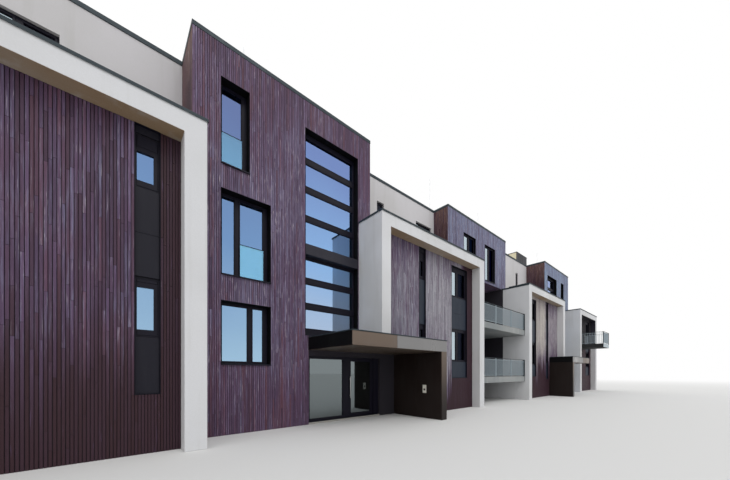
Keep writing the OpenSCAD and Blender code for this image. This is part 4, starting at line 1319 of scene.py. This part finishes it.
class ROW_OT_walls(Piece, bpy.types.Operator):
    """White portals, rendered walls, balcony slabs and floors"""

    bl_idname = "house_row.walls"
    bl_label = "Walls and Slabs"

    def build(self, scene):
        edge = scene.row_walls.ease
        for node in ("house_portals", "end_portals"):
            portals = dressed(eased_node(node, edge), "white", "white_render", stands_for=[node])
            self.mark_reveal_shades(portals, solids(node))
        dressed(eased_node("balcony_slabs", edge), "slab", "balcony_slab", stands_for=["balcony_slabs"])
        self.end_balcony(edge)
        self.dark_sides(scene)
        self.loggia_shade()
        # The set-back walls take the render darkened as painted shade
        painted("upper", "upper_white_walls")
        painted("white", "party_walls", "back_wall")
        painted("dark_wall", "recess_back_wall")
        painted("concrete", "ground_floor", "first_floor", "second_floor")

    def mark_reveal_shades(self, piece, portals):
        """Marks the faces inside the portals for their painted shade: strongly on the beams' undersides,
        faintly on the inner sides.
        """
        marks = piece.data.attributes.new("reveal", "FLOAT", "FACE")
        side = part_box("house_timber_walls")[0].x - solids("house_portals")[0][0].x
        for face, mark in zip(piece.data.polygons, marks.data):
            middle = face.center
            within = any(p[0].x + side / 2 < middle.x < p[1].x - side / 2 for p in portals)
            # The beams' undersides get most of the painted shade, the inner sides a trace
            if face.normal.z < -0.7 and middle.z > 1:
                mark.value = 0.9
            elif within and abs(face.normal.x) > 0.7:
                mark.value = 0.06

    def end_balcony(self, edge):
        """The end balcony's slab, dark as painted shade, which gives way at its front for a pale sheet as
        painted light.
        """
        slab = dressed(eased_node("end_balcony", edge), "dark_slab", "dark_slab", stands_for=["end_balcony"])
        low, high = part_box("end_balcony")
        room, inset = 0.006, 0.004
        for v in slab.data.vertices:
            if v.co.y < low.y + room:
                v.co.y += room
        # The pale front sheet is painted light on the slab's front
        sheet = block("fascia", (low.x + inset, low.y, low.z + inset),
                      (high.x - inset, low.y + 0.005, high.z), CRISP)
        dressed(sheet, "railing", "dark_slab")

    def dark_sides(self, scene):
        """Dark painted sheets on the recess's side walls."""
        recess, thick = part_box("recess_back_wall"), 0.008
        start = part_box("tower_fronts")[0].y + scene.row_walls.dark_from
        lower, upper = sorted(solids("balcony_slabs"), key=lambda b: b[0].z)
        levels = (lower[1].z, upper[0].z), (upper[1].z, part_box("centre_block_front")[0].z - 0.012)
        sheets = []
        for foot, head in levels:
            for x in (recess[0].x, recess[1].x - thick):
                sheets.append(block("sheet", (x, start, foot + 0.004), (x + thick, recess[0].y, head), SOFT))
        finished(sheets, "recess_side_sheets", "dark_wall", "dark_wall")

    def loggia_shade(self):
        """Dark sheets that line the right end portal above its balcony, as painted shade."""
        portal, wall = solids("end_portals")[1], solids("end_timber_walls")[1]
        foot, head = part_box("end_balcony")[1].z, portal_soffit()
        left, right = wall[0].x + JOINT, wall[1].x - JOINT
        front, back, thick = portal[0].y + 0.006, wall[0].y - 0.010, 0.006
        ceiling = block("sheet", (left, front, head - thick), (right, back, head + JOINT), CRISP)
        side = block("sheet", (right - thick, front, foot + 0.01), (right + JOINT, back, head - 0.008), CRISP)
        finished([ceiling, side], "end_bay_linings", "band", "dark_wall")


class ROW_OT_roof(Piece, bpy.types.Operator):
    """Gravel, copings with their joints, lift overruns and lightning rods"""

    bl_idname = "house_row.roof"
    bl_label = "Roof"

    def build(self, scene):
        dressed(eased_node("copings", ROUND), "coping", "coping", stands_for=["copings"])
        self.coping_joints(scene.row_metal)
        self.drip_edges()
        self.gravel()
        self.roof_boxes()
        rods = smoothed(eased_node("lightning_rods", SOFT))
        dressed(rods, "rod", "rod_metal", stands_for=["lightning_rods"])
        painted("gravel", "roof_slab")

    def coping_joints(self, metal):
        """Cover strips over the joints of the sheet."""
        low, high = max(solids("copings"), key=lambda b: b[1].z)
        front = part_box("back_wall")[0].y
        thick, half = 0.003, 0.014
        covers = [block("cover", (x - half, front - 0.014, low.z + 0.004),
                        (x + half, high.y, high.z + thick), CRISP)
                  for x in divided(low.x, high.x, metal.joint_pitch)]
        finished(covers, "coping_covers", "coping", "coping")

    def drip_edges(self):
        """Drip edges that hang from the portals' copings, and the sheets along the recess's sides."""
        roof = max(b[1].z for b in solids("copings"))
        thick, drop, lap = 0.004, 0.012, 0.002
        parts = []
        for low, high in solids("copings"):
            if high.z < roof:
                foot, head = low.z - drop, low.z + lap
                parts.append(block("drip", (low.x, low.y, foot), (high.x, low.y + thick, head), CRISP))
                for x in (low.x, high.x - thick):
                    parts.append(block("drip", (x, low.y + thick, foot), (x + thick, high.y, head), CRISP))
        recess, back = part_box("recess_back_wall"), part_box("centre_block_front")[0].y
        portal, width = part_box("house_portals"), 0.010
        for x in (recess[0].x, recess[1].x - width):
            parts.append(block("sheet", (x, portal[0].y + 0.002, portal[1].z - 0.045),
                               (x + width, back - JOINT, portal[1].z + lap), CRISP))
        finished(parts, "portal_drip_edges", "coping", "coping")

    def gravel(self):
        """A bed of gravel on the roof and behind the fronts of the towers and the centre block."""
        low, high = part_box("roof_slab")
        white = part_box("upper_white_walls")[1].y
        fronts = [*solids("tower_fronts"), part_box("centre_block_front")]
        wall = fronts[0][1].y - fronts[0][0].y
        patch, thick, lift = 0.11, 0.014, 0.002
        areas = [(low.x, white, high.x, high.y)]
        areas += [(b[0].x + wall, b[1].y, b[1].x - wall, white) for b in fronts]
        parts = []
        for x0, y0, x1, y1 in areas:
            wide, deep = x1 - x0, y1 - y0
            bpy.ops.object.select_all(action="DESELECT")
            bpy.ops.mesh.primitive_grid_add(
                x_subdivisions=max(2, round(wide / patch)), y_subdivisions=max(2, round(deep / patch)),
                size=1, location=((x0 + x1) / 2, (y0 + y1) / 2, high.z + lift))
            parts.append(bpy.context.object)
            bpy.ops.transform.resize(value=(wide, deep, 1))
            bpy.ops.object.transform_apply()
            bpy.ops.object.mode_set(mode="EDIT")
            bpy.ops.mesh.select_all(action="SELECT")
            bpy.ops.mesh.extrude_region_move(TRANSFORM_OT_translate={"value": (0, 0, thick)})
            bpy.ops.transform.vertex_random(offset=0.004, normal=1.0, seed=3)
            bpy.ops.mesh.select_all(action="SELECT")
            bpy.ops.mesh.normals_make_consistent(inside=False)
            bpy.ops.object.mode_set(mode="OBJECT")
        finished(parts, "roof_gravel", "gravel", "roof_covering")

    def roof_boxes(self):
        """The lift overruns: a seamed box with a cap, and a pale sheet on each side as painted sunlight."""
        parts, pale = [], []
        inset, cap, sheet, seam = 0.01, 0.03, 0.010, 0.004
        for low, high in solids("roof_boxes"):
            for x in (low.x + 0.002, high.x - 0.002 - sheet):
                pale.append(block("side", (x, low.y + 0.03, low.z + 0.01),
                                  (x + sheet, high.y - 0.03, high.z - cap - 0.004), SOFT))
            parts.append(block("box", low + Vector((inset, inset, 0)),
                               high - Vector((inset, inset, 0.012)), ROUND))
            parts.append(block("cap", (low.x, low.y, high.z - cap), high, ROUND, 2))
            parts += [block("seam", (x - seam, low.y + JOINT, low.z + 0.02),
                            (x + seam, high.y - JOINT, high.z - cap - 0.002), CRISP)
                      for x in divided(low.x, high.x, 0.23)]
        finished(parts, "roof_boxes_finished", "roof_box", "roof_box_cladding", "roof_boxes")
        finished(pale, "roof_sunlit_box_sides", "sunlit_box_side", "roof_box_cladding")


class ROW_OT_stage(Piece, bpy.types.Operator):
    """Camera, lamps, floor and backdrop"""

    bl_idname = "house_row.stage"
    bl_label = "Stage"

    def build(self, scene):
        stage = scene.row_stage
        bpy.ops.object.camera_add(location=(stage.camera_x, stage.camera_y, stage.camera_z),
                                  rotation=(math.pi / 2, 0, -stage.heading))
        scene.camera = bpy.context.object
        camera = scene.camera.data
        camera.sensor_fit = "HORIZONTAL"
        camera.lens = stage.lens
        camera.shift_y = stage.shift
        camera.clip_end = 500
        # Strength, and tilt, turn and spread in degrees, of the key lamp and the soft lamp
        for energy, tilt, turn, spread in ((stage.sun, 38, 8, 24), (stage.fill, 60, -66, 60)):
            bpy.ops.object.light_add(type="SUN", location=(0, -10, 12),
                                     rotation=(math.radians(tilt), 0, math.radians(turn)))
            lamp = bpy.context.object.data
            lamp.energy = energy
            lamp.angle = math.radians(spread)
        self.floor(stage)
        self.world(scene)
        scene.view_settings.view_transform = "Standard"

    def floor(self, stage):
        """A plain floor that fades to white far from the row."""
        bpy.ops.mesh.primitive_plane_add(size=400, location=(0, 0, -0.001))
        floor = bpy.context.object
        floor.name = "floor"
        s = Shader("floor_paint")
        floor.data.materials.append(s.surface(base_color=stage.floor, roughness=0.9))
        paint = Wire(s, s.tree.nodes["Principled BSDF"].outputs[0])
        away = s.node("ShaderNodeVectorMath", {"operation": "LENGTH"}, {0: s.place()}, out="Value")
        seen = s.node("ShaderNodeLightPath", out="Is Camera Ray")
        white = s.node("ShaderNodeEmission", None, {"Color": (1, 1, 1, 1), "Strength": 1.0})
        mixed = s.node("ShaderNodeMixShader", None, {0: s.step(away, 14, 45) * seen, 1: paint, 2: white})
        s.tree.links.new(mixed.socket, s.tree.nodes["Material Output"].inputs["Surface"])

    def world(self, scene):
        """A white backdrop for the camera, for gloss and for glass, and a plain soft light for the rest."""
        scene.world = bpy.data.worlds.new("studio")
        s = Shader("studio", scene.world)
        camera, gloss, through = (s.node("ShaderNodeLightPath", out=f"Is {ray} Ray")
                                  for ray in ("Camera", "Glossy", "Transmission"))
        seen = camera.larger(gloss).larger(through)
        sky = scene.row_stage.sky
        light = s.node("ShaderNodeBackground", None,
                       {"Color": (1, 1, 1, 1), "Strength": seen * (1.0 - sky) + sky})
        s.node("ShaderNodeOutputWorld", None, {"Surface": light})


OPERATORS = [
    ROW_OT_stage, ROW_OT_walls, ROW_OT_windows, ROW_OT_openings, ROW_OT_stair_glazing, ROW_OT_strip_panels,
    ROW_OT_entrances, ROW_OT_canopies, ROW_OT_railings, ROW_OT_roof, ROW_OT_tower_timber,
    ROW_OT_bay_timber, ROW_OT_block_timber,
]


class ROW_PT_panel(bpy.types.Panel):
    """Lists the pieces of the house row"""

    bl_idname = "ROW_PT_panel"
    bl_label = "House Row"
    bl_space_type = "VIEW_3D"
    bl_region_type = "UI"
    bl_category = "House Row"

    def draw(self, context):
        for operator in OPERATORS:
            self.layout.operator(operator.bl_idname)
        for key, settings in SETTINGS.items():
            box = self.layout.box()
            box.label(text=settings.__doc__)
            for name in settings.__annotations__:
                box.prop(getattr(context.scene, key), name)


FINISHES = {}


def register():
    for settings in SETTINGS.values():
        bpy.utils.register_class(settings)
    for key, settings in SETTINGS.items():
        setattr(bpy.types.Scene, key, PointerProperty(type=settings))
    for operator in OPERATORS:
        bpy.utils.register_class(operator)
    bpy.utils.register_class(ROW_PT_panel)


def unregister():
    bpy.utils.unregister_class(ROW_PT_panel)
    for operator in reversed(OPERATORS):
        bpy.utils.unregister_class(operator)
    for key, settings in SETTINGS.items():
        delattr(bpy.types.Scene, key)
        bpy.utils.unregister_class(settings)


def main():
    register()
    FINISHES.update(make_materials())
    for operator in OPERATORS:
        group, name = operator.bl_idname.split(".")
        getattr(getattr(bpy.ops, group), name)()


if __name__ == "__main__":
    main()
